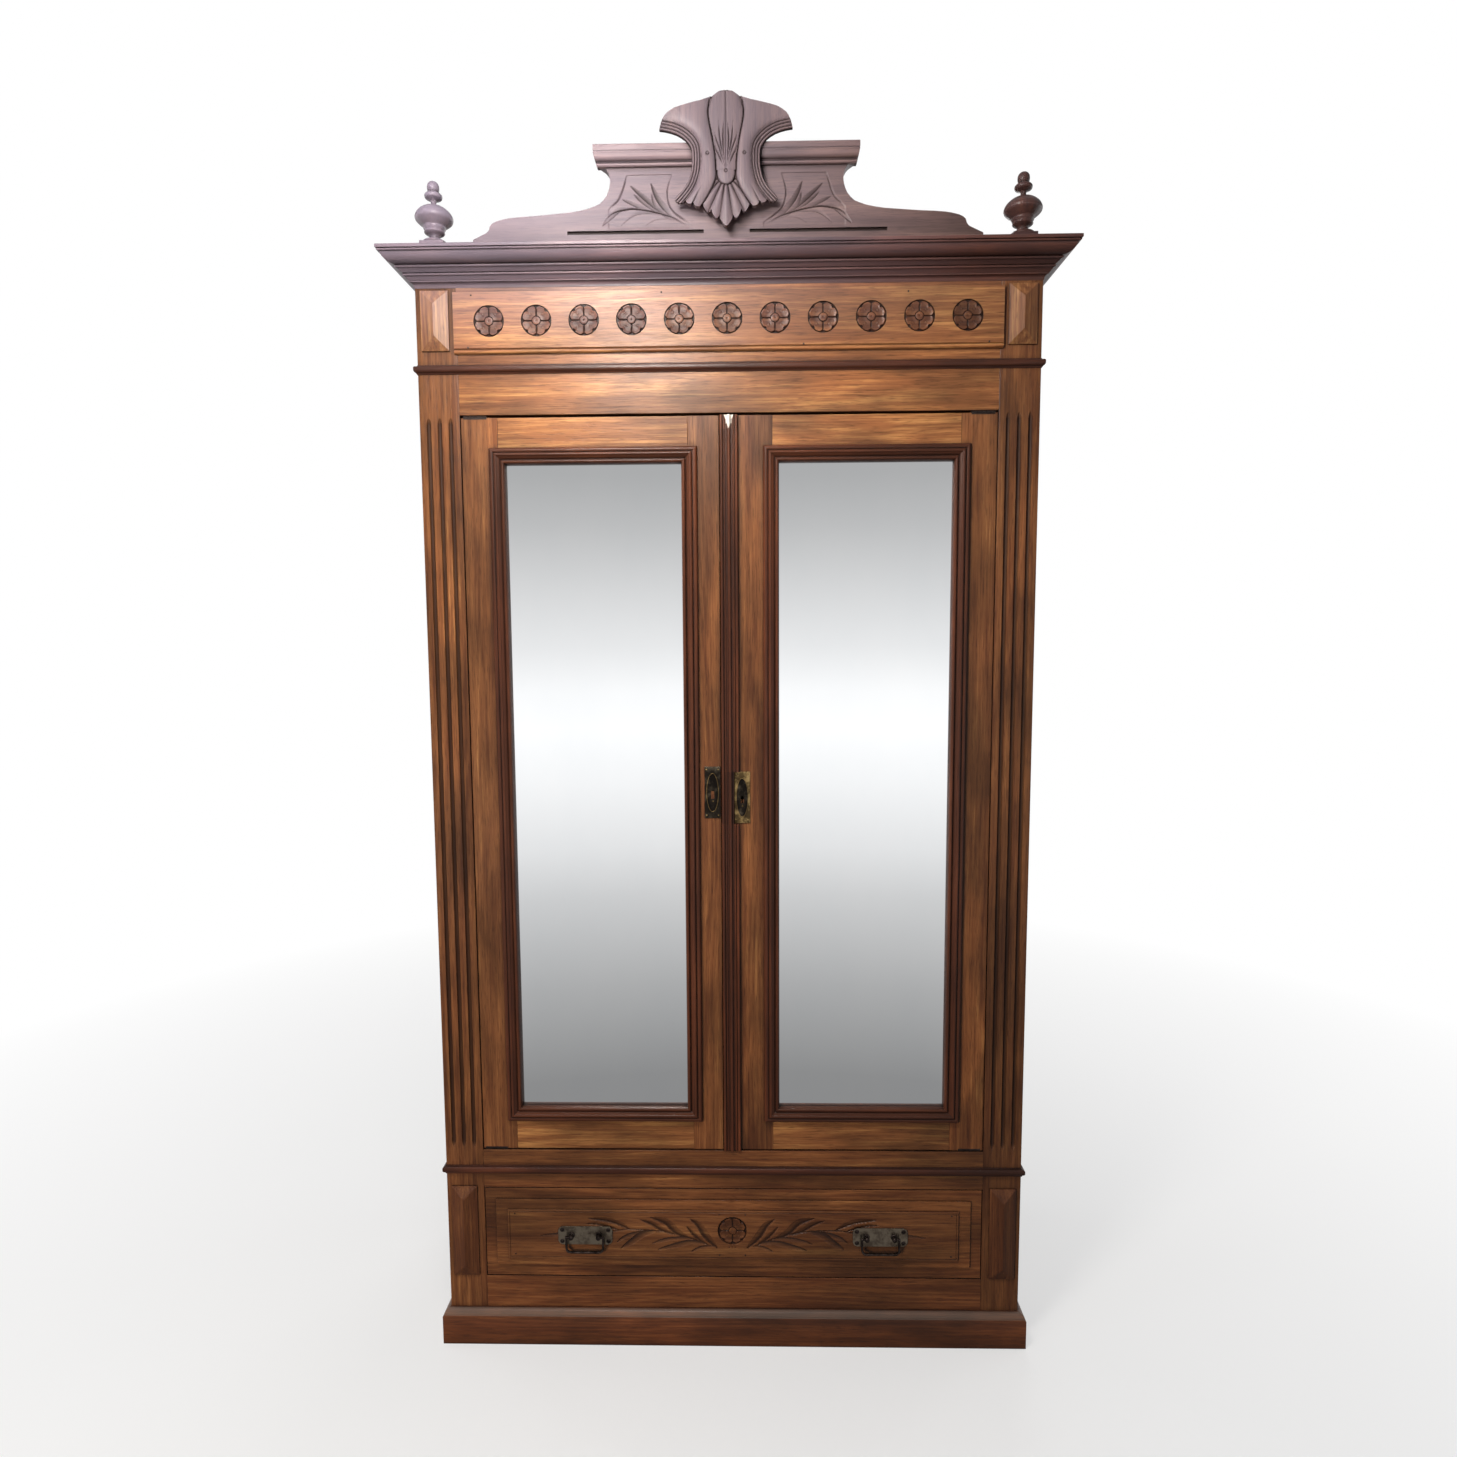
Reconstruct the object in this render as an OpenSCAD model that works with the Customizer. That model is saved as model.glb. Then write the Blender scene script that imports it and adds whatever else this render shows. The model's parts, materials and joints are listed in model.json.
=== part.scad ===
// Two-door mirrored armoire with a bottom drawer, a carved frieze, a wide cornice and a crest.
// Millimetres. +Z is up, the doors face -Y, X runs along the front.
// The origin is on the floor at the centre of the whole object's footprint.

/* [Carcass] */
// Width over the two front posts
body_w = 1150; // [1110:1:1190]
// Depth from the front plane to the back
body_d = 480; // [450:1:560]
// Width of each front post
post_w = 75; // [72:1:80]
// Depth of the front and rear posts
post_d = 45; // [40:1:50]
// Thickness of the side rails
side_t = 22; // [20:1:24]
// Thickness of the front rails
rail_t = 28; // [28:1:30]
// Thickness of the loose panels and the back boards
panel_t = 12; // [10:1:12]

/* [Heights] */
// Top edge of the plinth, where the bottom rail starts
plinth_top = 72; // [68:1:80]
// Underside of the drawer opening
drawer_low = 138.5; // [132:0.5:144]
// Top of the drawer opening
drawer_high = 328; // [324:1:340]
// Bottom of the door opening, and the cabinet floor
doors_low = 407; // [400:1:420]
// Top of the door opening
doors_high = 1842; // [1760:1:1850]
// Bottom of the cornice at the body
cornice_low = 2070; // [2068:1:2076]
// Top of the cornice and of the posts
cornice_high = 2129; // [2127:1:2131]
// Top of the crest cap
cap_high = 2311; // [2305:1:2320]
// Top of the crest ornament
top_high = 2390; // [2386:1:2400]

/* [Mouldings] */
// How far the cornice stands out from the body
cornice_reach = 52; // [50:1:54]
// How far the plinth stands out from the body
plinth_reach = 14; // [10:1:16]
// How far the two thin body mouldings stand out
bead_reach = 6.5; // [5:0.5:8]
// Width of the door moulding round each mirror
mould_w = 30; // [28:1:32]

/* [Doors] */
// Door thickness
door_t = 24; // [22:1:24]
// How far the door faces lie behind the front plane
door_recess = 3; // [2:0.5:4]
// Centre of the meeting bead between the doors
meeting_x = 1.5; // [0:0.5:3]
// Width of the meeting bead
astragal_w = 34; // [32:1:36]
// Height of the door's rails
door_rail_h = 73; // [66:1:76]

/* [Drawer] */
// Thickness of the drawer front behind its raised tiers
front_t = 22; // [20:1:24]
// Height of each raised tier
tier_t = 3; // [2:0.5:4]
// Distance between the posts of a handle
pull_pitch = 55; // [50:1:60]
// Height of the handles' pivots
pull_z = 232; // [226:1:238]
// Distance of each handle from the centre
pull_x = 296; // [280:1:310]

/* [Hidden] */
$fn = 48;
eps = 0.01;
// Hairline between separate pieces of one node where they meet
hairline = 0.05;
// Plan positions
front_y = cornice_reach - (body_d + cornice_reach) / 2;
back_y = front_y + body_d;
half_w = body_w / 2;
open_x = half_w - post_w;
inner_x = half_w - side_t;
// Top board over the cornice; the crest and the finials stand on it
top_board_t = 7;
top_z = cornice_high + top_board_t;
// Frieze
frieze_low = 1951;
frieze_high = 2061;
frieze_half = 504.5;
frieze_t = 6;
rosette_pitch = 87.7;
rosette_n = 11;
rosette_r = 28;
rosette_z = 2009;
rosette_depth = 4;
head_mould_low = 1916;
head_mould_h = 17;
waist_mould_low = 357;
waist_mould_h = 18;
// Corner blocks: width, height and centre height
block_w = 52;
block_x = half_w - 35.2;
block_t = 12;
upper_block = [1957.5, 2065.5];
lower_block = [140.5, 331];
// Flutes in the front posts
flute_pitch = 20.5;
flute_r = 4;
flute_low = 412;
flute_high = 1838;
flute_tip = 22;
// Door outlines
door_low = doors_low + 2;
door_high = doors_high - 4;
side_gap = 1.6;
meeting_gap = 1.5;
door_x = open_x - side_gap;
astragal_l = meeting_x - astragal_w / 2;
astragal_r = meeting_x + astragal_w / 2;
left_edge = astragal_l - meeting_gap;
door_front = front_y + door_recess;
door_back = door_front + door_t;
left_open = [-door_x + 68, left_edge - 58];
right_open = [astragal_l + 98, door_x - 66];
mirror_low = door_low + door_rail_h + 3.5;
mirror_high = door_high - door_rail_h;
mould_lap = 17.5;
mirror_t = 4;
mirror_y = door_front + 6;
rebate = 9;
// Pivot hinges near each door's outer front corner
pivot_in = 12;
pivot_back = 4;
pivot_x = door_x - pivot_in;
pivot_y = door_front + pivot_back;
pin_r = 3;
pin_fit = 0.05;
plate_l = 44;
plate_w = 14;
door_plate_t = 3;
// Escutcheons
escut_w = 30.5;
escut_h = 100;
escut_t = 1.5;
left_escut_x = -33.3;
left_escut_z = 1130.5;
right_escut_x = 23.8;
right_escut_z = 1120.5;
key_r = 4;
key_slot_w = 3;
key_slot_h = 12;
// Lock on the back of the right door
lock_w = 58;
lock_h = 76;
lock_t = 14;
lock_x = astragal_l + 1;
lock_bolt_w = 7;
lock_bolt_h = 18;
// Slide bolts on the back of the left door
bolt_x = left_edge - 34;
bolt_r = 4;
bolt_y = door_back + 8;
bolt_slot = 7;
bolt_len = 100;
// Interior
shelf_z = 1640;
shelf_t = 20;
floor_t = 20;
rod_r = 12.5;
rod_z = 1580;
rod_y = front_y + 245;
panel_in = half_w - 8 - panel_t;
back_face = back_y - panel_t;
// Drawer
drawer_gap = 1.5;
drawer_x = open_x - drawer_gap;
drawer_z = [drawer_low + 2, drawer_high - 1.5];
box_x = 484;
box_t = 12;
box_back = back_y - 40;
box_z = [142, 300];
tier1 = [476.5, 164.5, 304.5];
tier2 = [452.5, 180, 284];
// Handles
post_r = 5;
bail_r = 2.2;
bail_half = 37;
bail_drop = 31;
bail_corner = 9;
bail_out = 8;
plate_face = front_y - 2 * tier_t;
pull_plate_t = 1.6;
bail_y = plate_face - 2 - bail_out;
// Crest
crest_y = front_y + 5;
crest_t = 25;
cap_t = 18;
cap_low = 2278;
shell_t = 16;
// Colours
walnut = [0.45, 0.27, 0.15];
dark_walnut = [0.30, 0.17, 0.11];
oak = [0.66, 0.50, 0.33];
bronze = [0.22, 0.17, 0.12];
brass = [0.72, 0.58, 0.30];
silvered = [0.80, 0.82, 0.83];
iron = [0.16, 0.15, 0.15];

// A box given by two opposite corners
module block(lo, hi) {
    translate(lo) cube(hi - lo);
}

// The same shape on the left and on the right
module both_sides() {
    children();
    mirror([1, 0, 0]) children();
}

// A profile of [distance out from the body, height] run along the front and cut at 45 degrees
module front_run(profile, reach) {
    far = half_w + reach;
    intersection() {
        translate([-far, 0, 0]) rotate([90, 0, 90]) linear_extrude(2 * far)
            polygon([for (p = profile) [front_y - p[0], p[1]]]);
        linear_extrude(top_high) polygon([
            [hairline - far, front_y - reach], [far - hairline, front_y - reach],
            [half_w - side_t - hairline, front_y + side_t],
            [hairline - half_w + side_t, front_y + side_t]]);
    }
}

// The same profile run back along the right side, with the matching mitre
module side_run(profile, reach) {
    far = half_w + reach;
    intersection() {
        translate([0, back_y, 0]) rotate([90, 0, 0]) linear_extrude(body_d + reach)
            polygon([for (p = profile) [half_w + p[0], p[1]]]);
        linear_extrude(top_high) polygon([
            [far, front_y - reach], [far, back_y], [half_w - side_t, back_y],
            [half_w - side_t, front_y + side_t]]);
    }
}

// A profile round the front and both sides: three lengths with mitred corners
module wrapped_moulding(profile, reach) {
    front_run(profile, reach);
    both_sides() side_run(profile, reach);
}

// Quarter arc of profile points from angle a to angle b about a centre
function arc(c, r, a, b, n = 5) =
    [for (i = [0:n]) c + r * [cos(a + (b - a) * i / n), sin(a + (b - a) * i / n)]];

/* ---------- carcass ---------- */

module flute(x) {
    straight = flute_high - flute_low - 2 * flute_tip;
    translate([x, front_y, flute_low + flute_tip]) cylinder(r = flute_r, h = straight);
    translate([x, front_y, flute_low]) cylinder(r1 = 0, r2 = flute_r, h = flute_tip);
    translate([x, front_y, flute_high - flute_tip]) cylinder(r1 = flute_r, r2 = 0, h = flute_tip);
}

module right_post() {
    difference() {
        block([open_x, front_y, 0], [half_w, front_y + post_d, cornice_high]);
        for (i = [-1:1]) flute(half_w - post_w / 2 + i * flute_pitch);
    }
}

module front_left_post() {
    color(walnut) mirror([1, 0, 0]) right_post();
}

module front_right_post() {
    color(walnut) right_post();
}

module rear_frame() {
    post_in = half_w - post_d;
    color(dark_walnut) {
        both_sides() block([post_in, back_y - post_d, 0], [half_w, back_y, cornice_high]);
        for (z = [[plinth_top, drawer_low - 3], [doors_low - floor_t - 30, doors_low - floor_t],
                  [2030, cornice_high]])
            block([hairline - post_in, back_face - rail_t, z[0]], [post_in - hairline, back_face, z[1]]);
    }
}

side_rail_z = [[plinth_top, 160], [drawer_high, doors_low], [1900, cornice_high]];

module side_rails() {
    color(walnut) both_sides() for (z = side_rail_z)
        block([inner_x, front_y + post_d, z[0]], [half_w, back_y - post_d, z[1]]);
}

module side_panels() {
    color(walnut) both_sides() for (i = [0:1])
        block([panel_in, front_y + post_d, side_rail_z[i][1]],
              [panel_in + panel_t, back_y - post_d, side_rail_z[i + 1][0]]);
}

// A rail across the front between the posts
module front_rail(low, high) {
    block([-open_x, front_y, low], [open_x, front_y + rail_t, high]);
}

module frieze_rail() {
    color(walnut) front_rail(head_mould_low + head_mould_h, cornice_high);
}

module door_head_rail() {
    color(walnut) front_rail(doors_high, head_mould_low + head_mould_h);
}

module waist_rail() {
    color(walnut) front_rail(drawer_high, doors_low);
}

module bottom_rail() {
    color(walnut) front_rail(plinth_top, drawer_low);
}

back_board_n = 6;
back_board_gap = 0.5;

module back_boards() {
    span = 2 * (half_w - post_d);
    pitch = span / back_board_n;
    color(oak) for (i = [0:back_board_n - 1])
        translate([-span / 2 + i * pitch + back_board_gap / 2, back_face, 40])
            cube([pitch - back_board_gap, panel_t, cornice_high - 40]);
}

// One board of the cabinet floor, over [left, right] and [front, back]
module floor_piece(x, y) {
    block([x[0], y[0] + hairline, doors_low - floor_t], [x[1], y[1] - hairline, doors_low]);
}

// Floor of four boards: the two front ones leave a slot for the left door's lower bolt
module floor_board() {
    rear_x = half_w - post_d;
    y = [front_y + rail_t, front_y + post_d, back_y - post_d, back_face];
    color(oak) {
        floor_piece([-open_x, bolt_x - bolt_slot], [y[0], y[1]]);
        floor_piece([bolt_x + bolt_slot, open_x], [y[0], y[1]]);
        floor_piece([-inner_x, inner_x], [y[1], y[2]]);
        floor_piece([-rear_x, rear_x], [y[2], y[3]]);
    }
}

module top_board() {
    color(oak) block([-half_w - 37, front_y - 30, cornice_high], [half_w + 37, back_y, top_z]);
}

module plinth() {
    color(dark_walnut) wrapped_moulding([[0, 0], [plinth_reach, 0], [plinth_reach, plinth_top - 12.5],
        [plinth_reach - 4, plinth_top - 8], [1.5, plinth_top], [0, plinth_top]], plinth_reach);
}

// Thin body moulding: a round bead above a small cove
function bead_profile(low, h) = concat([[0, low], [1.2, low]],
    arc([1.2, low + h * 0.47], bead_reach - 1.2, -75, 0, 4),
    arc([bead_reach - h * 0.2, low + h * 0.67], h * 0.2, 0, 90, 5),
    [[0.8, low + h * 0.9], [0.8, low + h], [0, low + h]]);

module waist_moulding() {
    color(dark_walnut) wrapped_moulding(bead_profile(waist_mould_low, waist_mould_h), bead_reach);
}

module head_moulding() {
    color(dark_walnut) wrapped_moulding(bead_profile(head_mould_low, head_mould_h), bead_reach);
}

// Cornice, from the bottom up: step, two beads with sloping bands, a broad cove, a bead and a fillet
cornice_profile = concat([[0, cornice_low], [1, cornice_low + 3]],
    arc([8, cornice_low + 2], 7, 172, 95, 4),
    [[8, cornice_low + 11.5], [13.5, cornice_low + 17.5]],
    arc([14.5, cornice_low + 19.5], 2.2, -60, 90, 5),
    [[17, cornice_low + 22], [23, cornice_low + 28]],
    arc([24.5, cornice_low + 30.5], 2.4, -60, 90, 5),
    arc([26, cornice_low + 54], 21, -88, -12, 8),
    arc([48.3, cornice_low + 50.5], 1.9, -60, 90, 5),
    [[cornice_reach, cornice_low + 52.6], [cornice_reach, cornice_high], [0, cornice_high]]);

module cornice() {
    color(dark_walnut) wrapped_moulding(cornice_profile, cornice_reach);
}

module at_rosettes() {
    mid = (rosette_n - 1) / 2;
    for (i = [0:rosette_n - 1])
        translate([(i - mid) * rosette_pitch, front_y - frieze_t + rosette_depth, rosette_z]) children();
}

module frieze_board() {
    color(walnut) difference() {
        translate([-frieze_half, 0, 0]) rotate([90, 0, 90]) linear_extrude(2 * frieze_half)
            polygon([for (p = concat([[0, frieze_low], [2, frieze_low]],
                arc([2, frieze_low + 4.5], 4, -90, 60, 5),
                [[frieze_t, frieze_low + 10], [frieze_t, frieze_high], [0, frieze_high]]))
                [front_y - p[0], p[1]]]);
        at_rosettes() rotate([90, 0, 0]) cylinder(r = rosette_r + 0.2, h = rosette_depth + 1);
    }
}

// Carved roundel: four petals and a centre button on a thin disc
module rosette() {
    rotate([90, 0, 0]) {
        cylinder(r = rosette_r, h = 1.2);
        for (a = [45:90:315]) rotate(a) translate([15, 0, 0]) cylinder(r = 10.3, h = 3.8);
        cylinder(r = 7.5, h = 4.6);
    }
}

module frieze_rosettes() {
    color(walnut) at_rosettes() rosette();
}

// Faceted block: a hipped roof shape with a vertical ridge
module faceted_block(z) {
    lip = 2.5;
    half = block_w / 2;
    h = z[1] - z[0];
    intersection() {
        translate([block_x, front_y, z[0]]) linear_extrude(h)
            polygon([[-half, 0], [-half, -lip], [0, -block_t], [half, -lip], [half, 0]]);
        translate([block_x - half, front_y, z[0]]) rotate([90, 0, 90]) linear_extrude(block_w)
            polygon([[0, 0], [-lip, 0], [-block_t, half], [-block_t, h - half], [-lip, h], [0, h]]);
    }
}

module corner_blocks() {
    color(walnut) both_sides() {
        faceted_block(upper_block);
        faceted_block(lower_block);
    }
}

/* ---------- crest ---------- */

// Half outlines, as [distance from the centre line, height above the top board]
crest_half = [[466, 0], [466, 21], [440, 33], [434, 45], [421, 53], [397, 58], [351, 61], [288, 66],
    [254, 72], [232, 80], [219, 94], [213, 110], [212, 123], [215, 134], [223, 145], [232, 151]];
shell_half = [[0, 27], [18, 43], [34, 53], [54, 62], [68, 66], [86, 69], [93, 76], [79, 90], [68, 106],
    [62, 127], [61, 144], [62, 159], [67, 169], [80, 181], [98, 189], [119, 193], [115, 206], [107, 217],
    [92, 226], [70, 232], [45, 238], [22, 247]];

function whole(half) = concat(half, [for (i = [len(half) - 1:-1:0]) [-half[i][0], half[i][1]]]);

module crest_board() {
    slot_h = 6;
    slot_z = 30;
    tongue = 56;
    color(walnut) difference() {
        translate([0, crest_y + crest_t, top_z]) rotate([90, 0, 0]) linear_extrude(crest_t)
            polygon(whole(concat(crest_half, [[232, cap_high - top_z], [tongue, cap_high - top_z],
                [tongue, top_high - top_z - 22]])));
        both_sides() translate([42, crest_y - 1, top_z + slot_z - slot_h / 2]) cube([250, 6, slot_h]);
    }
}

module crest_cap() {
    h = cap_high - cap_low;
    color(walnut) translate([-240, 0, 0]) rotate([90, 0, 90]) linear_extrude(480)
        polygon([for (p = concat([[0, 0], [5, 0]], arc([5, 3.2], 2.6, -70, 80, 4), [[6, 7]],
            arc([7, 17], 9, -90, -10, 6),
            [[cap_t - 1, 17], [cap_t - 1, 21], [cap_t, 22], [cap_t, h], [0, h]]))
            [crest_y - p[0], cap_low + p[1]]]);
}

module crest_shell() {
    back_w = 55;
    face = crest_y - cap_t;
    color(walnut) {
        translate([0, face, top_z]) rotate([90, 0, 0]) linear_extrude(shell_t)
            polygon(whole(concat(shell_half, [[0.01, top_high - top_z]])));
        block([-back_w, face - eps, top_z + 75], [back_w, crest_y, cap_low]);
    }
}

finial_x = half_w - post_w / 2;
finial_y = front_y + 8;

module finial() {
    stem = 14;
    translate([finial_x, finial_y, top_z]) {
        block([-22, -22, 0], [22, 22, stem]);
        rotate_extrude() polygon([[0, stem - eps], [22, stem - eps], [22, stem + 3], [18, stem + 6],
            [10, stem + 8], [9.8, 27], [12, 30], [17, 33], [18.5, 35], [17.6, 37], [20, 42], [20.6, 45],
            [27, 50], [32.5, 55], [34, 59], [33.4, 63], [30, 69], [22, 76], [14, 79.5], [6.5, 81],
            [5.2, 84], [5.2, 90], [9, 92.5], [14.5, 95], [15.8, 98], [15.3, 101], [12, 104], [8.6, 105],
            [10.3, 109], [10.8, 114], [10, 119], [7, 123], [3, 124.7], [0, 125]]);
    }
}

module left_finial() {
    color(dark_walnut) mirror([1, 0, 0]) finial();
}

module right_finial() {
    color(dark_walnut) finial();
}

/* ---------- interior ---------- */

module shelf() {
    color(oak) difference() {
        block([-panel_in, front_y + 70, shelf_z], [panel_in, back_face, shelf_z + shelf_t]);
        both_sides() block([half_w - post_d, back_y - post_d, 0], [half_w, back_y, shelf_z + shelf_t + 1]);
    }
}

module shelf_cleats() {
    color(oak) both_sides()
        block([panel_in - 18, front_y + 80, shelf_z - 26], [panel_in, back_y - post_d, shelf_z]);
}

module hanging_rail() {
    color(brass) translate([-panel_in + 3, rod_y, rod_z])
        rotate([0, 90, 0]) cylinder(r = rod_r, h = 2 * panel_in - 6);
}

module rail_sockets() {
    color(oak) both_sides() difference() {
        block([panel_in - 16, rod_y - 26, rod_z - 26], [panel_in, rod_y + 26, rod_z + 26]);
        translate([panel_in - 17, rod_y, rod_z]) rotate([0, 90, 0]) cylinder(r = rod_r + 0.1, h = 14.5);
    }
}

module drawer_runners() {
    runner_x = [box_x - 25, open_x - 0.5];
    run_y = [front_y + rail_t, back_face - rail_t];
    top = box_z[0] - 0.5;
    color(oak) both_sides() {
        block([runner_x[0], run_y[0], 112], [runner_x[1], run_y[1], top]);
        block([box_x + 1.5, run_y[0], top + hairline], [runner_x[1], run_y[1], top + 40]);
    }
}

// Strips behind the head rail that the doors close against; the left one stops short of the upper bolt
module door_stops() {
    stop_y = [front_y + rail_t, front_y + rail_t + 17];
    color(oak) for (x = [[-440, bolt_x - bolt_slot], [20, 440]])
        block([x[0], stop_y[0], doors_high - 20], [x[1], stop_y[1], doors_high + 20]);
}

/* ---------- pivot hinges ---------- */

module hinge_pin(low, high) {
    translate([pivot_x, pivot_y, low]) cylinder(r = pin_r, h = high - low);
}

module hinge_plate(low, high) {
    x = [pivot_x - plate_l + 8, pivot_x + 8];
    y = [pivot_y - plate_w / 2 + 3, pivot_y + plate_w / 2 + 3];
    block([x[0], y[0], low], [x[1], y[1], high]);
}

pin_reach = 14;

module frame_hinge_plates() {
    top_gap = doors_high - door_high;
    color(brass) both_sides() {
        hinge_plate(doors_high - top_gap + 0.6, doors_high);
        hinge_pin(door_high - pin_reach, doors_high - 1);
        hinge_plate(doors_low, door_low - 0.6);
        hinge_pin(doors_low + 0.5, door_low + pin_reach);
    }
}

module door_plates() {
    difference() {
        union() {
            hinge_plate(door_high - door_plate_t, door_high);
            hinge_plate(door_low, door_low + door_plate_t);
        }
        hinge_bores(pin_r + pin_fit);
    }
}

module hinge_bores(r) {
    for (z = [door_low - 1, door_high - pin_reach - 2])
        translate([pivot_x, pivot_y, z]) cylinder(r = r, h = pin_reach + 3);
}

// Room for the plates and pins in a hinge stile
module hinge_cuts() {
    hinge_plate(door_high - door_plate_t, door_high + 1);
    hinge_plate(door_low - 1, door_low + door_plate_t);
    hinge_bores(pin_r + 0.6);
}

/* ---------- doors ---------- */

module stile(x, rebate_side) {
    cut_x = rebate_side > 0 ? [x[1] - rebate, x[1] + 1] : [x[0] - 1, x[0] + rebate];
    difference() {
        block([x[0], door_front, door_low], [x[1], door_back, door_high]);
        block([cut_x[0], mirror_y, mirror_low - rebate], [cut_x[1], door_back + 1, mirror_high + rebate]);
    }
}

module door_rails(x) {
    difference() {
        block([x[0], door_front, mirror_high], [x[1], door_back, door_high]);
        block([x[0] - 1, mirror_y, mirror_high - 1], [x[1] + 1, door_back + 1, mirror_high + rebate]);
    }
    difference() {
        block([x[0], door_front, door_low], [x[1], door_back, mirror_low]);
        block([x[0] - 1, mirror_y, mirror_low - rebate], [x[1] + 1, door_back + 1, mirror_low + 1]);
    }
}

// Raised moulding over the joint of frame and mirror: four mitred lengths.
// The profile is [distance in from the outer edge, height over the door face].
mould_profile = concat([[0, 0], [0, 2.5]], arc([4.5, 3], 4.5, 180, 70, 5), [[8, 8.2]],
    arc([13, 6], 4.2, 150, 40, 4), [[19, 6.5], [21, 5.6]], arc([25.5, 5.2], 4.5, 170, 10, 5),
    [[mould_w, 3], [mould_w, -5.5], [mould_lap, -5.5], [mould_lap, 0]]);

module mould_length(len) {
    intersection() {
        rotate([90, 0, 90]) linear_extrude(len) polygon([for (p = mould_profile) [-p[1], p[0]]]);
        translate([0, -20, 0]) rotate([-90, 0, 0]) linear_extrude(40)
            polygon([[hairline, 0], [len - hairline, 0], [len - mould_w - hairline, -mould_w],
                     [mould_w + hairline, -mould_w]]);
    }
}

module door_moulding(x) {
    low = mirror_low - mould_lap;
    high = mirror_high + mould_lap;
    left = x[0] - mould_lap;
    right = x[1] + mould_lap;
    translate([0, door_front, 0]) {
        translate([left, 0, low]) mould_length(right - left);
        translate([right, 0, high]) rotate([0, 180, 0]) mould_length(right - left);
        translate([right, 0, low]) rotate([0, -90, 0]) mould_length(high - low);
        translate([left, 0, high]) rotate([0, 90, 0]) mould_length(high - low);
    }
}

module mirror_plate(x, y, t) {
    lap = rebate - 0.5;
    block([x[0] - lap, y, mirror_low - lap], [x[1] + lap, y + t, mirror_high + lap]);
}

// A plate with rounded ends standing on the door face
module stadium(w, h, t) {
    rotate([90, 0, 0]) linear_extrude(t) {
        square([w, h - w], center = true);
        for (s = [-1, 1]) translate([0, s * (h - w) / 2]) circle(d = w);
    }
}

module keyhole(r, t) {
    rotate([90, 0, 0]) translate([0, 0, -t]) cylinder(r = r, h = 2 * t);
    block([-key_slot_w / 2, -t, -key_slot_h], [key_slot_w / 2, t, 0]);
}

module escutcheon(open) {
    ring_w = 13;
    ring_h = 42;
    difference() {
        union() {
            translate([-escut_w / 2, -escut_t, -escut_h / 2]) cube([escut_w, escut_t, escut_h]);
            translate([0, -escut_t + eps, 0]) stadium(ring_w, ring_h, 2);
        }
        translate([0, -escut_t - 0.4, 0]) stadium(ring_w - 3.5, ring_h - 3.5, 4);
        if (open) translate([0, 0, 2]) keyhole(key_r - 0.4, 6);
    }
}

// Left door: passive, held by the two slide bolts
module left_door_stiles() {
    color(walnut) {
        difference() {
            stile([-door_x, left_open[0]], 1);
            mirror([1, 0, 0]) hinge_cuts();
        }
        stile([left_open[1], left_edge], -1);
    }
}

module left_door_rails() {
    color(walnut) door_rails(left_open);
}

module left_door_moulding() {
    color(dark_walnut) door_moulding(left_open);
}

module left_mirror() {
    color(silvered) mirror_plate(left_open, mirror_y, mirror_t);
}

module left_mirror_backing() {
    color(oak) mirror_plate(left_open, mirror_y + mirror_t, door_back - mirror_y - mirror_t - 1);
}

module left_escutcheon() {
    color(bronze) translate([left_escut_x, door_front, left_escut_z]) escutcheon(false);
}

module left_hinge_plates() {
    color(brass) mirror([1, 0, 0]) door_plates();
}

top_bolt_z = doors_high - 22 - bolt_len;
bottom_bolt_z = doors_low + 3;
guide_t = 10;

module bolt_guides() {
    color(brass) for (z = [top_bolt_z + 22, top_bolt_z + 78, bottom_bolt_z + 12, bottom_bolt_z + 68])
        difference() {
            block([bolt_x - 10, door_back, z], [bolt_x + 10, bolt_y + 7, z + guide_t]);
            translate([bolt_x, bolt_y, z - 1]) cylinder(r = bolt_r + 0.05, h = guide_t + 2);
        }
}

// A round bolt with a small knob at the height knob_z
module slide_bolt(low, knob_z) {
    translate([bolt_x, bolt_y, low]) cylinder(r = bolt_r, h = bolt_len);
    translate([bolt_x, bolt_y, knob_z]) rotate([-90, 0, 0]) cylinder(r = 3, h = 14);
}

module top_bolt() {
    color(brass) slide_bolt(top_bolt_z, top_bolt_z + 46);
}

module bottom_bolt() {
    color(brass) slide_bolt(bottom_bolt_z, bottom_bolt_z + 50);
}

// Right door: carries the meeting bead and the lock
module right_door_stiles() {
    color(walnut) {
        difference() {
            stile([astragal_l, right_open[0]], 1);
            translate([right_escut_x, door_front + door_t / 2, right_escut_z]) keyhole(key_r, door_t);
        }
        difference() {
            stile([right_open[1], door_x], -1);
            hinge_cuts();
        }
    }
}

module right_door_rails() {
    color(walnut) door_rails(right_open);
}

module right_door_moulding() {
    color(dark_walnut) door_moulding(right_open);
}

module right_mirror() {
    color(silvered) mirror_plate(right_open, mirror_y, mirror_t);
}

module right_mirror_backing() {
    color(oak) mirror_plate(right_open, mirror_y + mirror_t, door_back - mirror_y - mirror_t - 1);
}

module astragal() {
    rib = 3.6;
    edge = 6;
    color(dark_walnut) difference() {
        translate([0, 0, door_low]) linear_extrude(door_high - door_low) difference() {
            union() {
                translate([astragal_l, door_front - 5]) square([astragal_w, 5]);
                translate([meeting_x, door_front - 5]) circle(r = rib);
                for (x = [astragal_l + edge / 2, astragal_r - edge / 2])
                    translate([x, door_front - 5]) circle(d = edge);
            }
            translate([astragal_l - 1, door_front]) square([astragal_w + 2, 10]);
        }
        block([right_escut_x - escut_w / 2 - 0.3, door_front - 20, right_escut_z - escut_h / 2 - 0.3],
              [astragal_r + 5, door_front + 1, right_escut_z + escut_h / 2 + 0.3]);
    }
}

module right_escutcheon() {
    color(brass) translate([right_escut_x, door_front, right_escut_z]) escutcheon(true);
}

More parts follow.
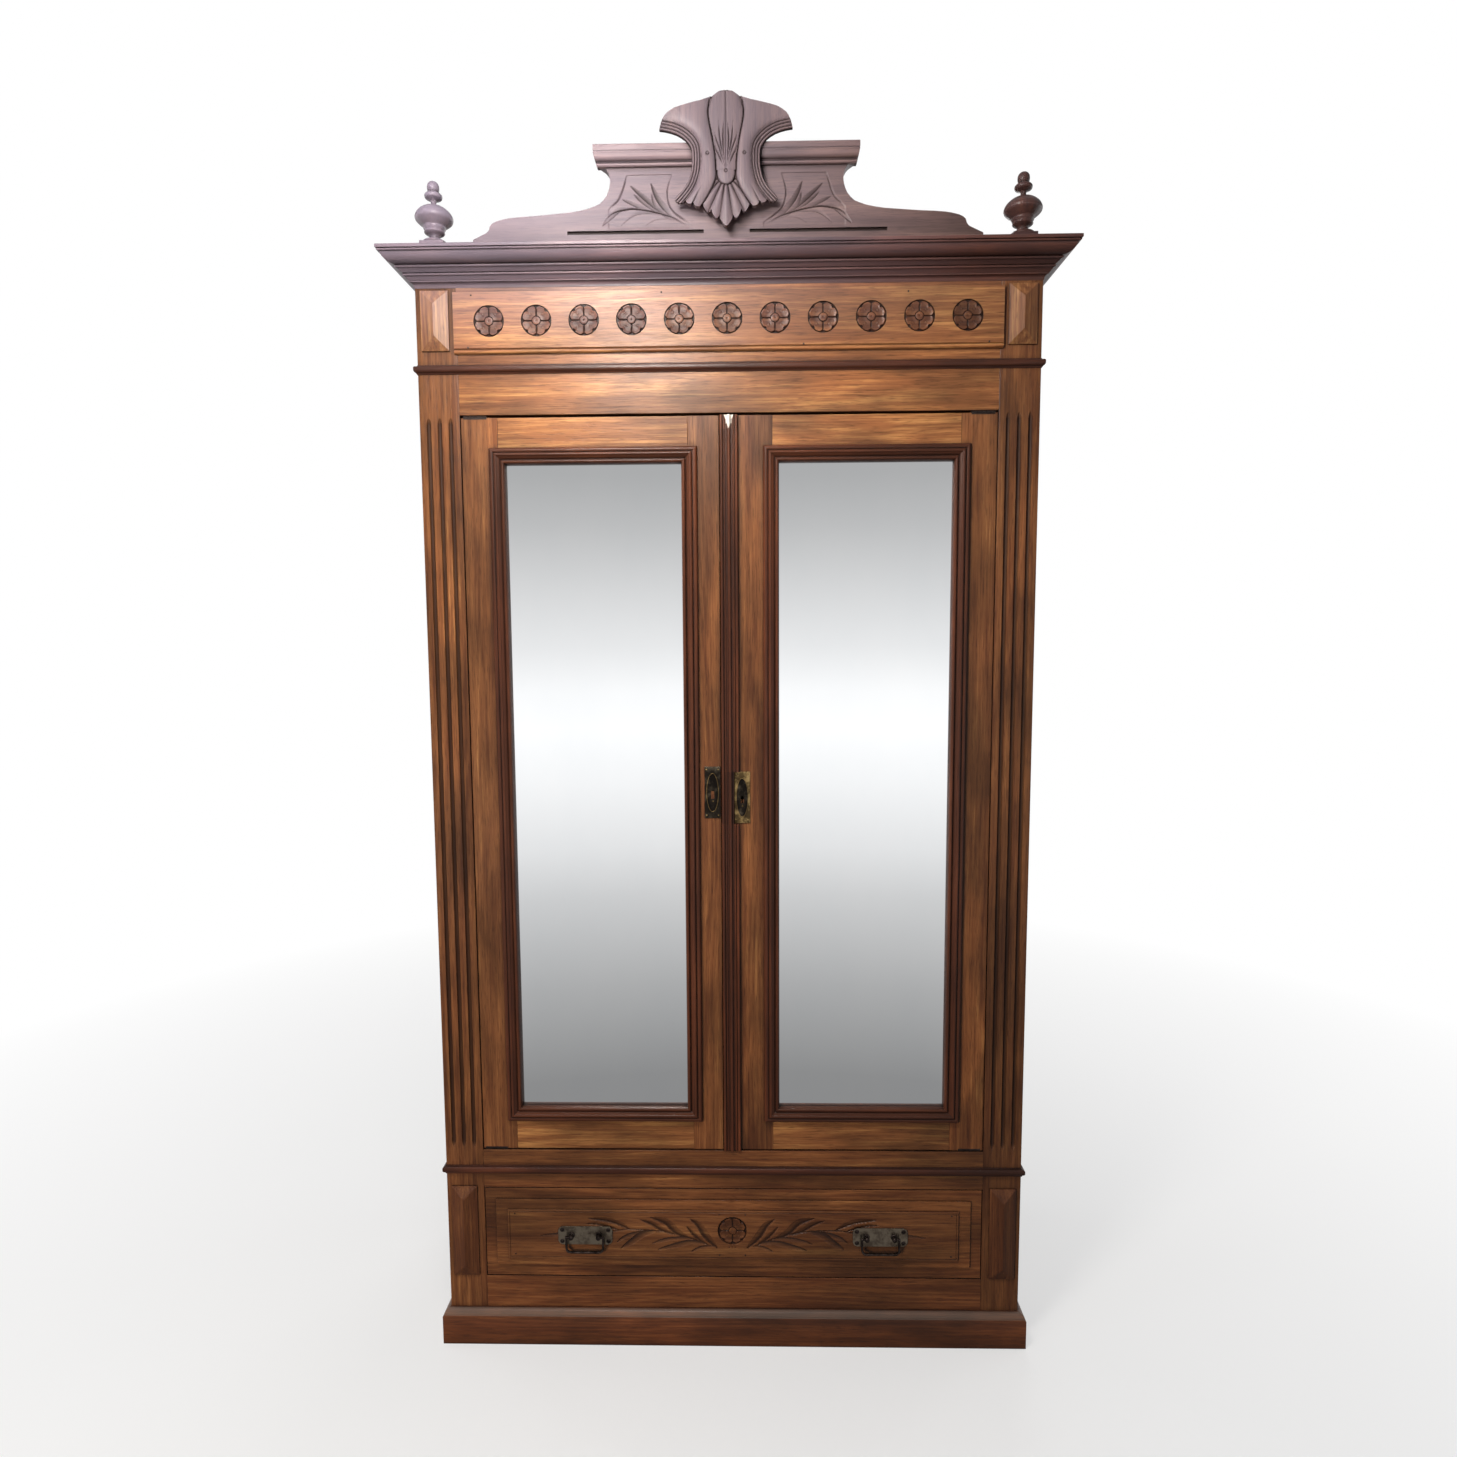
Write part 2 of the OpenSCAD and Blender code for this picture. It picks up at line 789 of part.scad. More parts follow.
module right_hinge_plates() {
    color(brass) door_plates();
}

module lock_case() {
    slack = 0.3;
    mid = door_back + lock_t / 2;
    color(brass) difference() {
        block([lock_x, door_back, right_escut_z - lock_h / 2],
              [lock_x + lock_w, door_back + lock_t, right_escut_z + lock_h / 2]);
        block([lock_x - 1, mid - lock_bolt_w / 2 - slack, right_escut_z + 14 - slack],
              [lock_x + 34, mid + lock_bolt_w / 2 + slack, right_escut_z + 14 + lock_bolt_h + slack]);
        translate([right_escut_x, door_back, right_escut_z]) keyhole(key_r - 0.2, 8);
    }
}

module lock_bolt() {
    mid = door_back + lock_t / 2;
    color(brass) block([lock_x + 0.5, mid - lock_bolt_w / 2, right_escut_z + 14],
                       [lock_x + 32, mid + lock_bolt_w / 2, right_escut_z + 14 + lock_bolt_h]);
}

// Keeper on the back of the left door that the lock bolt enters: two bars and the strap over them
module lock_keeper() {
    slack = 1;
    x = [left_edge - 24, left_edge - 1.5];
    bolt_z = [right_escut_z + 14 - slack, right_escut_z + 14 + lock_bolt_h + slack];
    strap_y = door_back + lock_t / 2 + lock_bolt_w / 2 + slack;
    color(brass) {
        block([x[0], door_back, bolt_z[0] - 9], [x[1], strap_y - hairline, bolt_z[0]]);
        block([x[0], door_back, bolt_z[1]], [x[1], strap_y - hairline, bolt_z[1] + 9]);
        block([x[0], strap_y, bolt_z[0] - 9], [x[1], door_back + lock_t, bolt_z[1] + 9]);
    }
}

/* ---------- drawer ---------- */

// A flat tier given as [half width, bottom, top] between two depths
module tier(t, y0, y1) {
    block([-t[0], y0, t[1]], [t[0], y1, t[2]]);
}

module at_pulls() {
    for (s = [-1, 1]) translate([s * pull_x, 0, pull_z]) children();
}

module drawer_front() {
    color(walnut) difference() {
        union() {
            block([-drawer_x, front_y, drawer_z[0]], [drawer_x, front_y + front_t, drawer_z[1]]);
            tier(tier1, front_y - tier_t, front_y + 1);
            tier(tier2, front_y - 2 * tier_t, front_y + 1);
        }
        at_pulls() for (s = [-1, 1]) translate([s * pull_pitch / 2, front_y + front_t + 1, 0])
            rotate([90, 0, 0]) cylinder(r = 3.1, h = front_t + 10);
    }
}

module drawer_box() {
    color(oak) {
        both_sides() block([box_x - box_t, front_y + front_t, box_z[0]], [box_x, box_back, box_z[1]]);
        block([hairline - box_x + box_t, box_back - box_t, box_z[0] + 18],
              [box_x - box_t - hairline, box_back, box_z[1] - 6]);
    }
}

module drawer_bottom() {
    half = box_x - box_t;
    color(oak) block([-half, front_y + front_t, box_z[0] + 10], [half, box_back, box_z[0] + 18]);
}

module pull_plates() {
    plate = [109, 38];
    corner = 7;
    inner = [plate[0] - 2 * corner, plate[1] - 2 * corner];
    color(bronze) at_pulls() difference() {
        translate([0, plate_face, -1]) rotate([90, 0, 0]) linear_extrude(pull_plate_t) {
            square([inner[0], plate[1]], center = true);
            square([plate[0], inner[1]], center = true);
            for (sx = [-1, 1], sz = [-1, 1])
                translate([sx * inner[0] / 2, sz * inner[1] / 2]) circle(r = corner - 1);
        }
        for (s = [-1, 1]) translate([s * pull_pitch / 2, plate_face + 1, 0])
            rotate([90, 0, 0]) cylinder(r = 3.1, h = 4);
    }
}

// Handle post: a threaded shank through the drawer front, a nut behind it and a bored head
module pull_posts() {
    plate_front = plate_face - pull_plate_t;
    nut_t = 4;
    shank_end = front_y + front_t + nut_t + 2;
    head = plate_front - bail_y + post_r;
    color(iron) at_pulls() for (s = [-1, 1]) translate([s * pull_pitch / 2, 0, 0]) difference() {
        rotate([90, 0, 0]) union() {
            translate([0, 0, -shank_end]) cylinder(r = 3, h = shank_end - plate_front + 1);
            translate([0, 0, -plate_front]) cylinder(r = post_r, h = head);
            translate([0, 0, -shank_end + 2]) cylinder(r = 6, h = nut_t, $fn = 6);
        }
        translate([-10, bail_y, 0]) rotate([0, 90, 0]) cylinder(r = bail_r + pin_fit, h = 20);
    }
}

// Hanging bail: two pins on one axis, two arms and a cross bar with rounded corners
module bail() {
    arm = bail_drop - bail_corner;
    pin = bail_half - pull_pitch / 2 + 4;
    color(iron) translate([0, bail_y, 0]) {
        for (s = [-1, 1]) {
            translate([s * bail_half - (s > 0 ? pin : 0), 0, 0])
                rotate([0, 90, 0]) cylinder(r = bail_r, h = pin);
            translate([s * bail_half, 0, -arm]) cylinder(r = bail_r, h = arm);
            translate([s * bail_half, 0, 0]) sphere(r = bail_r);
            translate([s * (bail_half - bail_corner), 0, -arm]) rotate([90, 0, 0])
                rotate(s > 0 ? -90 : 180)
                    rotate_extrude(angle = 90) translate([bail_corner, 0]) circle(r = bail_r);
        }
        translate([-bail_half + bail_corner, 0, -bail_drop]) rotate([0, 90, 0])
            cylinder(r = bail_r + 0.3, h = 2 * (bail_half - bail_corner));
    }
}

module left_bail() {
    translate([-pull_x, 0, pull_z]) bail();
}

module right_bail() {
    translate([pull_x, 0, pull_z]) bail();
}

front_left_post();
front_right_post();
rear_frame();
side_rails();
side_panels();
frieze_rail();
door_head_rail();
waist_rail();
bottom_rail();
back_boards();
floor_board();
top_board();
plinth();
waist_moulding();
head_moulding();
cornice();
frieze_board();
frieze_rosettes();
corner_blocks();
crest_board();
crest_cap();
crest_shell();
left_finial();
right_finial();
shelf();
shelf_cleats();
hanging_rail();
rail_sockets();
drawer_runners();
door_stops();
frame_hinge_plates();
left_door_stiles();
left_door_rails();
left_door_moulding();
left_mirror();
left_mirror_backing();
left_escutcheon();
left_hinge_plates();
bolt_guides();
top_bolt();
bottom_bolt();
right_door_stiles();
right_door_rails();
right_door_moulding();
right_mirror();
right_mirror_backing();
astragal();
right_escutcheon();
right_hinge_plates();
lock_case();
lock_bolt();
lock_keeper();
drawer_front();
drawer_box();
drawer_bottom();
pull_plates();
pull_posts();
left_bail();
right_bail();
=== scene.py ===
import json
import math
import random

import bmesh
import bpy
import numpy as np
from mathutils import Matrix, Vector

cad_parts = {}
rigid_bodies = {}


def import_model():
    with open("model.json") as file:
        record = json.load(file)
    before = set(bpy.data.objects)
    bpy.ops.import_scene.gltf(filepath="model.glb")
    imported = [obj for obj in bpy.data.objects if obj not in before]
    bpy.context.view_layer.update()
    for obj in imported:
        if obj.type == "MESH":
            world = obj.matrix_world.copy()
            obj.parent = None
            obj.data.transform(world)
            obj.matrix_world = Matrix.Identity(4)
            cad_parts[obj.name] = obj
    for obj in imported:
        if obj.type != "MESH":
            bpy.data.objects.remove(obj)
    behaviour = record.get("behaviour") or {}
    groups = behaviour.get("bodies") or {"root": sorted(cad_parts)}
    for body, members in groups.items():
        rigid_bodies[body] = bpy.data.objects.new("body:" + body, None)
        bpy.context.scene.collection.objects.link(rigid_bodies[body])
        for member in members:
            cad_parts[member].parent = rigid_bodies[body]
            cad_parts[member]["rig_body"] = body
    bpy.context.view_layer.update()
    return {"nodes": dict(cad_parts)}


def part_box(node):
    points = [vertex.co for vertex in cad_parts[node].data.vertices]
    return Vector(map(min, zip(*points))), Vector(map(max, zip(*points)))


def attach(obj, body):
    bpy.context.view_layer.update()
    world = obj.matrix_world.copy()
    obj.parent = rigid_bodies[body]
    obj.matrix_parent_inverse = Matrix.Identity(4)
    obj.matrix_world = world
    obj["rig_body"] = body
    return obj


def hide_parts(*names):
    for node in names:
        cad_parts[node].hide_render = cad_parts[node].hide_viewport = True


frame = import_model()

NODES = frame["nodes"]
MM = 0.001
RNG = random.Random(7)


def span(node):
    """Lowest and highest corner of a CAD node, in millimetres."""
    lo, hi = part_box(node)
    return np.array(lo) / MM, np.array(hi) / MM


FRONT = span("waist_rail")[0][1]
BACK = span("rear_frame")[1][1]
HALF = span("front_right_post")[1][0]
TOP = span("top_board")[1][2]
DOOR_FACE = span("left_door_stiles")[0][1]
DOOR_LOW, DOOR_HIGH = span("left_door_stiles")[0][2], span("left_door_stiles")[1][2]


# ---------------------------------------------------------------- materials

class Graph:
    """A material's node tree, built by chaining calls."""

    def __init__(self, name):
        self.material = bpy.data.materials.new(name)
        self.material.use_nodes = True
        self.tree = self.material.node_tree
        self.tree.nodes.clear()

    def put(self, socket, value):
        if isinstance(value, bpy.types.NodeSocket):
            self.tree.links.new(value, socket)
        else:
            socket.default_value = value

    def add(self, kind, inputs=None, **props):
        made = self.tree.nodes.new(kind)
        for key, value in props.items():
            setattr(made, key, value)
        for key, value in (inputs or {}).items():
            self.put(made.inputs[key], value)
        return made

    def math(self, operation, a, b=0.0, c=0.0, clamp=False):
        made = self.add("ShaderNodeMath", {0: a, 1: b, 2: c}, operation=operation, use_clamp=clamp)
        return made.outputs[0]

    def times(self, a, b):
        return self.math("MULTIPLY", a, b)

    def plus(self, a, b):
        return self.math("ADD", a, b)

    def place(self):
        return self.add("ShaderNodeTexCoord").outputs["Object"]

    def vector(self, operation, a, b):
        return self.add("ShaderNodeVectorMath", {0: a, 1: b}, operation=operation).outputs[0]

    def vector_length(self, a):
        return self.add("ShaderNodeVectorMath", {0: a}, operation="LENGTH").outputs["Value"]

    def noise(self, coords, stretch, detail=2.0, roughness=0.55, output="Fac"):
        """Noise in coordinates scaled by stretch, in cycles per metre along each axis."""
        scaled = self.vector("MULTIPLY", coords, stretch)
        inputs = {"Vector": scaled, "Scale": 1.0, "Detail": detail, "Roughness": roughness}
        return self.add("ShaderNodeTexNoise", inputs).outputs[output]

    def between(self, value, low, high, to_low=0.0, to_high=1.0):
        inputs = {"Value": value, "From Min": low, "From Max": high, "To Min": to_low, "To Max": to_high}
        return self.add("ShaderNodeMapRange", inputs).outputs["Result"]

    def ramp(self, factor, stops):
        made = self.add("ShaderNodeValToRGB", {"Fac": factor})
        points = made.color_ramp.elements
        while len(points) < len(stops):
            points.new(0.5)
        for point, (position, colour) in zip(points, stops):
            point.position = position
            point.color = (*colour, 1)
        return made.outputs["Color"]

    def mix(self, factor, a, b, blend="MIX"):
        made = self.add("ShaderNodeMix", data_type="RGBA", blend_type=blend)
        self.put(made.inputs["Factor"], factor)
        self.put(made.inputs["A"], a)
        self.put(made.inputs["B"], b)
        return made.outputs["Result"]

    def bump(self, height, distance, strength=1.0):
        inputs = {"Height": height, "Distance": distance, "Strength": strength}
        return self.add("ShaderNodeBump", inputs).outputs["Normal"]

    def finish(self, inputs):
        return self.surface(self.add("ShaderNodeBsdfPrincipled", inputs))

    def surface(self, shader):
        out = self.add("ShaderNodeOutputMaterial")
        self.tree.links.new(shader.outputs[0], out.inputs["Surface"])
        return self.material


def rgb(red, green, blue):
    """An sRGB colour of 0 to 255 as linear light."""
    def linear(c):
        c /= 255
        return c / 12.92 if c <= 0.04045 else ((c + 0.055) / 1.055) ** 2.4
    return linear(red), linear(green), linear(blue)


def rgba(*colour):
    return (*rgb(*colour), 1)


PORE = rgba(38, 20, 12)
# Colour of painted shade in crevices and carved recesses
PAINTED_CREVICE_SHADE = rgba(26, 14, 10)
# Colour of scuffs and of painted sheen
SCUFF_AND_SHEEN = rgba(214, 206, 196)
# Colour of the painted glare over the upper left
PAINTED_GLARE_COLOUR = rgba(176, 168, 190)
WEAR = (1.75, 1.6, 1.45, 1)
# Reach of the occlusion that finds where shade is painted
PAINTED_SHADE_REACH = 0.011


def wood(name, stops, rough=(0.32, 0.5), pore=0.45, stain_and_painted_shade=0.5, coat=0.1, painted_glare=0.0, bump=0.0004):
    """Timber whose figure follows the attribute "grain": along the fibres, then across them.
    tone lightens or darkens a board. The third attribute darkens it with painted shade in carved cuts, and
    where negative lightens it with scuffs and painted sheen; occlusion adds painted shade in crevices. The
    glare amount lays a painted pale veil of glare over the upper left, by place on the object."""
    g = Graph(name)
    grain = g.add("ShaderNodeAttribute", attribute_name="grain").outputs["Vector"]
    tone = g.add("ShaderNodeAttribute", attribute_name="tone").outputs["Fac"]
    dirt = g.add("ShaderNodeAttribute", attribute_name="dirt").outputs["Fac"]
    wander = g.noise(grain, (1.7, 6.0, 6.0), 2.0, 0.5, "Color")
    wander = g.vector("MULTIPLY", g.vector("SUBTRACT", wander, (0.5, 0.5, 0.5)), (0.0, 0.022, 0.022))
    fibre = g.vector("ADD", grain, wander)
    slow = g.noise(fibre, (0.9, 13.0, 13.0), 1.0, 0.5)
    rings = g.math("SINE", g.times(slow, 85.0))
    figure = g.noise(fibre, (2.6, 40.0, 40.0), 3.0, 0.55)
    streak = g.noise(fibre, (5.0, 190.0, 190.0), 5.0, 0.72)
    blotch = g.noise(grain, (3.2, 10.0, 10.0), 3.0, 0.6)
    pores = g.between(g.noise(fibre, (36.0, 650.0, 650.0), 2.0, 0.5), 0.54, 0.68)
    level = g.plus(g.times(figure, 0.30), g.times(streak, 0.52))
    level = g.plus(level, g.times(rings, 0.025))
    level = g.plus(level, g.math("MULTIPLY_ADD", tone, 0.16, 0.08))
    colour = g.ramp(level, stops)
    patches = g.between(blotch, 0.36, 0.62, 1.0 - stain_and_painted_shade, 1.06)
    shade = g.add("ShaderNodeCombineColor", {0: patches, 1: patches, 2: patches}).outputs[0]
    colour = g.mix(1.0, colour, shade, "MULTIPLY")
    colour = g.mix(g.times(pores, pore), colour, PORE)
    # Painted glare: a pale veil mixed into the colour over the upper left, by place, standing in for a haze
    # of light
    if painted_glare:
        place = g.add("ShaderNodeSeparateXYZ", {0: g.place()}).outputs
        painted_glare_mask = g.times(g.between(place["Z"], 1.94, 2.2), g.between(place["X"], 0.45, -0.6, 0.10, 1.0))
        painted_glare_mask = g.times(painted_glare_mask, g.between(blotch, 0.3, 0.7, 0.8 * painted_glare, painted_glare))
        colour = g.mix(painted_glare_mask, colour, PAINTED_GLARE_COLOUR)
    # Painted shade: the colour darkens towards the crevice colour where occlusion finds a recess, and as far
    # as the vertex attribute paints shade into carved cuts
    hollow = g.add("ShaderNodeAmbientOcclusion", {"Distance": PAINTED_SHADE_REACH}, samples=4).outputs["AO"]
    painted_shade = g.math("MAXIMUM", g.between(hollow, 0.93, 0.45, 0.0, 0.85), g.times(dirt, 0.95))
    colour = g.mix(painted_shade, colour, PAINTED_CREVICE_SHADE)
    # Lightening where the attribute is negative: scuffs, and on the plinth's top slope also a painted sheen
    colour = g.mix(g.math("MULTIPLY", dirt, -1.0, clamp=True), colour, SCUFF_AND_SHEEN)
    edge = g.between(g.add("ShaderNodeNewGeometry").outputs["Pointiness"], 0.53, 0.60, 0.0, 0.45)
    wear_and_sheen = g.mix(1.0, colour, WEAR, "MULTIPLY")
    colour = g.mix(g.times(edge, g.between(blotch, 0.4, 0.6)), colour, wear_and_sheen)
    height = g.math("SUBTRACT", g.times(streak, 0.5), g.times(pores, 0.35))
    height = g.plus(height, g.times(figure, 0.5))
    roughness = g.plus(g.between(blotch, 0.3, 0.7, rough[1], rough[0]), g.times(painted_shade, 0.25))
    return g.finish({"Base Color": colour, "Roughness": roughness, "Normal": g.bump(height, bump),
                     "Coat Weight": coat, "Coat Roughness": 0.25, "Specular IOR Level": 0.22})


def metal(name, bright, dull, rough=(0.28, 0.55), cover=(0.42, 0.62), metallic=1.0):
    """Old metal: bright where it is rubbed, dull with patina elsewhere and in its corners."""
    g = Graph(name)
    place = g.place()
    cloud = g.noise(place, (60.0, 60.0, 60.0), 5.0, 0.65)
    specks = g.noise(place, (600.0, 600.0, 600.0), 2.0, 0.5)
    hollow = g.add("ShaderNodeAmbientOcclusion", {"Distance": 0.004}, samples=3).outputs["AO"]
    patina = g.math("MAXIMUM", g.between(cloud, cover[0], cover[1]), g.between(hollow, 0.8, 0.4))
    edge = g.between(g.add("ShaderNodeNewGeometry").outputs["Pointiness"], 0.52, 0.58)
    patina = g.math("SUBTRACT", patina, g.times(edge, 0.6), clamp=True)
    colour = g.mix(patina, (*bright, 1), (*dull, 1))
    height = g.plus(g.times(cloud, 0.6), g.times(specks, 0.4))
    return g.finish({"Base Color": colour, "Roughness": g.between(patina, 0.0, 1.0, *rough),
                     "Normal": g.bump(height, 0.0002), "Metallic": metallic})


def silvered():
    """Mirror glass with a faint clouding of old silver."""
    g = Graph("mirror_silver")
    place = g.place()
    cloud = g.noise(place, (5.0, 5.0, 3.0), 4.0, 0.6)
    colour = g.mix(g.between(cloud, 0.35, 0.7), (0.93, 0.94, 0.94, 1), (0.90, 0.915, 0.92, 1))
    rough = g.between(cloud, 0.3, 0.7, 0.004, 0.012)
    return g.finish({"Base Color": colour, "Metallic": 1.0, "Roughness": rough})


def stops(*rows):
    """Ramp stops from (position, red, green, blue) rows."""
    return [(at, rgb(*colour)) for at, *colour in rows]


WALNUT_STOPS = stops((0.24, 68, 36, 22), (0.42, 100, 59, 35), (0.58, 137, 89, 54), (0.80, 206, 153, 94))
DARK_STOPS = stops((0.22, 42, 22, 16), (0.45, 66, 36, 25), (0.62, 88, 50, 34), (0.82, 120, 74, 50))
CREST_STOPS = stops((0.22, 52, 36, 31), (0.42, 76, 55, 48), (0.58, 97, 73, 64), (0.8, 134, 106, 93))
PLAIN_STOPS = stops((0.22, 138, 108, 76), (0.45, 164, 131, 94), (0.62, 182, 150, 110), (0.82, 204, 176, 138))
DEEP_STOPS = stops((0.22, 60, 31, 18), (0.42, 92, 52, 31), (0.58, 120, 72, 43), (0.8, 158, 104, 66))
MOULD_STOPS = stops((0.22, 46, 22, 14), (0.45, 76, 40, 24), (0.62, 100, 55, 34), (0.82, 134, 80, 52))

MATERIALS = {
    "walnut": wood("walnut_polished", WALNUT_STOPS),
    "walnut_deep": wood("walnut_deep", DEEP_STOPS),
    "moulding": wood("moulding_walnut", MOULD_STOPS, pore=0.3, stain_and_painted_shade=0.35, rough=(0.3, 0.45)),
    "meeting": wood("meeting_walnut", MOULD_STOPS, pore=0.3, stain_and_painted_shade=0.35, rough=(0.3, 0.45)),
    # The crest, frieze and dark mouldings get the painted glare over their upper left
    "crest": wood("walnut_crest", CREST_STOPS, painted_glare=0.38, stain_and_painted_shade=0.3, rough=(0.42, 0.58), coat=0.05),
    "frieze": wood("walnut_frieze", WALNUT_STOPS, painted_glare=0.35, stain_and_painted_shade=0.35),
    "dark_walnut": wood("dark_walnut_polished", DARK_STOPS, painted_glare=0.5, stain_and_painted_shade=0.4, pore=0.3,
                        rough=(0.3, 0.45)),
    "plain_wood": wood("plain_softwood", PLAIN_STOPS, rough=(0.62, 0.78), coat=0.0, pore=0.2, stain_and_painted_shade=0.1,
                       bump=0.0006),
    "brass": metal("aged_brass", rgb(178, 148, 98), rgb(66, 52, 36), cover=(0.32, 0.54)),
    "bronze": metal("dark_bronze", rgb(92, 82, 68), rgb(34, 30, 27), cover=(0.3, 0.5)),
    "pewter": metal("worn_pewter", rgb(148, 134, 116), rgb(74, 62, 52), cover=(0.36, 0.6)),
    "iron": metal("black_iron", rgb(70, 60, 56), rgb(30, 24, 22), rough=(0.35, 0.6), cover=(0.35, 0.6)),
    "mirror": silvered(),
}


# ---------------------------------------------------------------- shapes

def placed(name, data):
    """A new object in the scene."""
    made = bpy.data.objects.new(name, data)
    bpy.context.scene.collection.objects.link(made)
    return made


AXES = {"x": (0, 1, 2), "y": (1, 0, 2), "z": (2, 0, 1)}


class Shape:
    """Vertices in millimetres and faces, with the grain, tone, and painted shade and scuffs at each vertex.
    """

    def __init__(self):
        self.verts, self.faces, self.grain, self.tone, self.dirt = [], [], [], [], []
        self.count = 0

    def add(self, verts, faces, axis="x", tone=0.0, dirt=0.0, spread=0.35):
        verts = np.asarray(verts, float).reshape(-1, 3)
        shift = np.array([RNG.uniform(0, 9), RNG.uniform(0, 3), RNG.uniform(0, 3)])
        self.faces += [[i + self.count for i in face] for face in faces]
        self.count += len(verts)
        self.verts.append(verts)
        self.grain.append(verts[:, AXES[axis]] * MM + shift)
        self.tone.append(np.full(len(verts), tone + RNG.uniform(-spread, spread)))
        self.dirt.append(np.broadcast_to(np.asarray(dirt, float), len(verts)))
        return self

    def build(self, name, like, material, slot=None, replaces=True, bevel=0.0, angle=32, body=None):
        """Makes the piece, riding on the body of the CAD node it is like."""
        mesh = bpy.data.meshes.new(name)
        mesh.from_pydata((np.concatenate(self.verts) * MM).tolist(), [], self.faces)
        for key, kind, values in (("grain", "FLOAT_VECTOR", self.grain), ("tone", "FLOAT", self.tone),
                                  ("dirt", "FLOAT", self.dirt)):
            layer = mesh.attributes.new(key, kind, "POINT")
            field = "vector" if kind == "FLOAT_VECTOR" else "value"
            layer.data.foreach_set(field, np.concatenate(values).astype(np.float32).ravel())
        bm = bmesh.new()
        bm.from_mesh(mesh)
        bmesh.ops.recalc_face_normals(bm, faces=bm.faces)
        bm.to_mesh(mesh)
        bm.free()
        mesh.polygons.foreach_set("use_smooth", [True] * len(mesh.polygons))
        mesh.set_sharp_from_angle(angle=math.radians(angle))
        mesh.materials.append(MATERIALS[material])
        piece = placed(name, mesh)
        if bevel:
            rounding = piece.modifiers.new("edges", "BEVEL")
            rounding.width = bevel * MM
            rounding.segments = 2
            rounding.limit_method = "ANGLE"
            rounding.angle_limit = math.radians(angle)
            rounding.harden_normals = True
        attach(piece, body or NODES[like]["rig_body"])
        if replaces is True:
            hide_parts(like)
        elif replaces:
            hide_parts(*replaces)
        return piece


def box(shape, lo, hi, **finish):
    """A plain board between two corners."""
    x, y, z = zip(lo, hi)
    verts = [(x[i], y[j], z[k]) for i in (0, 1) for j in (0, 1) for k in (0, 1)]
    faces = [(0, 1, 3, 2), (4, 6, 7, 5), (0, 4, 5, 1), (2, 3, 7, 6), (0, 2, 6, 4), (1, 5, 7, 3)]
    shape.add(verts, faces, **finish)


def solids(node):
    """The separate solids of a CAD node as (vertices in millimetres, faces), flat faces merged."""
    bm = bmesh.new()
    bm.from_mesh(NODES[node].data)
    bmesh.ops.remove_doubles(bm, verts=bm.verts, dist=1e-6)
    bmesh.ops.dissolve_limit(bm, angle_limit=math.radians(0.4), verts=bm.verts, edges=bm.edges)
    bm.faces.ensure_lookup_table()
    seen, found = set(), []
    for first in bm.faces:
        if first.index in seen:
            continue
        seen.add(first.index)
        queue, members = [first], []
        while queue:
            face = queue.pop()
            members.append(face)
            for edge in face.edges:
                for other in edge.link_faces:
                    if other.index not in seen:
                        seen.add(other.index)
                        queue.append(other)
        order = {}
        for v in (v for f in members for v in f.verts):
            order.setdefault(v.index, len(order))
        verts = [None] * len(order)
        for f in members:
            for v in f.verts:
                verts[order[v.index]] = [c / MM for c in v.co]
        found.append((verts, [[order[v.index] for v in f.verts] for f in members]))
    bm.free()
    found.sort(key=lambda solid: [round(c, 3) for c in np.mean(solid[0], axis=0)])
    return found


def refined(node, material, axis=None, tone=0.0, bevel=0.8, slot=None, spread=0.35, angle=32):
    """The CAD node's own solids with softened edges and grain along each one's longest side."""
    shape = Shape()
    for verts, faces in solids(node):
        size = np.ptp(np.array(verts), axis=0)
        shape.add(verts, faces, axis=axis or "xyz"[int(np.argmax(size))], tone=tone, spread=spread)
    return shape.build(f"{node}_finished", node, material, slot=slot, bevel=bevel, angle=angle)


def bands(n, rings, closed=False):
    """Quads between rings of n points each; closed joins the last ring to the first."""
    faces = []
    for i in range(rings if closed else rings - 1):
        a, b = i * n, (i + 1) % rings * n
        faces += [(a + j, a + (j + 1) % n, b + (j + 1) % n, b + j) for j in range(n)]
    return faces


def prism(n, rings):
    """Faces of a bar of rings of n points each, with both ends closed."""
    return [list(range(n)), list(range((rings - 1) * n, rings * n))] + bands(n, rings)


def spun(n, sides):
    """Faces between lines of n points each, set side by side round an axis."""
    return [(i * n + k, (i + 1) % sides * n + k, (i + 1) % sides * n + k + 1, i * n + k + 1)
            for i in range(sides) for k in range(n - 1)]


def sweep(shape, profile, start, end, out, up, turn=(0, 0), **finish):
    """A closed profile of (distance out, height) swept from start to end.
    turn lengthens an end by the distance out, for a mitre: 1 at an outer corner, -1 at an inner one."""
    start, end, out, up = (np.array(v, float) for v in (start, end, out, up))
    along = (end - start) / np.linalg.norm(end - start)
    rings = [[start + (end - start) * share + out * p[0] + up * p[1]
              + along * p[0] * (turn[1] * share - turn[0] * (1 - share)) for p in profile]
             for share in (0.0, 1.0)]
    shape.add(rings, prism(len(profile), 2), **finish)


AXIS_HOLE = 0.02


def lathe(shape, profile, centre, direction="z", sides=48, **finish):
    """A profile of (radius, distance along the axis) turned round an axis through centre."""
    verts = []
    for i in range(sides):
        c, s = math.cos(2 * math.pi * i / sides), math.sin(2 * math.pi * i / sides)
        for r, h in profile:
            r = max(r, AXIS_HOLE)
            spots = {"x": (h, r * c, r * s), "y": (r * c, -h, r * s), "z": (r * c, r * s, h)}
            verts.append(spots[direction])
    shape.add(np.array(verts) + np.array(centre, float), spun(len(profile), sides), **finish)


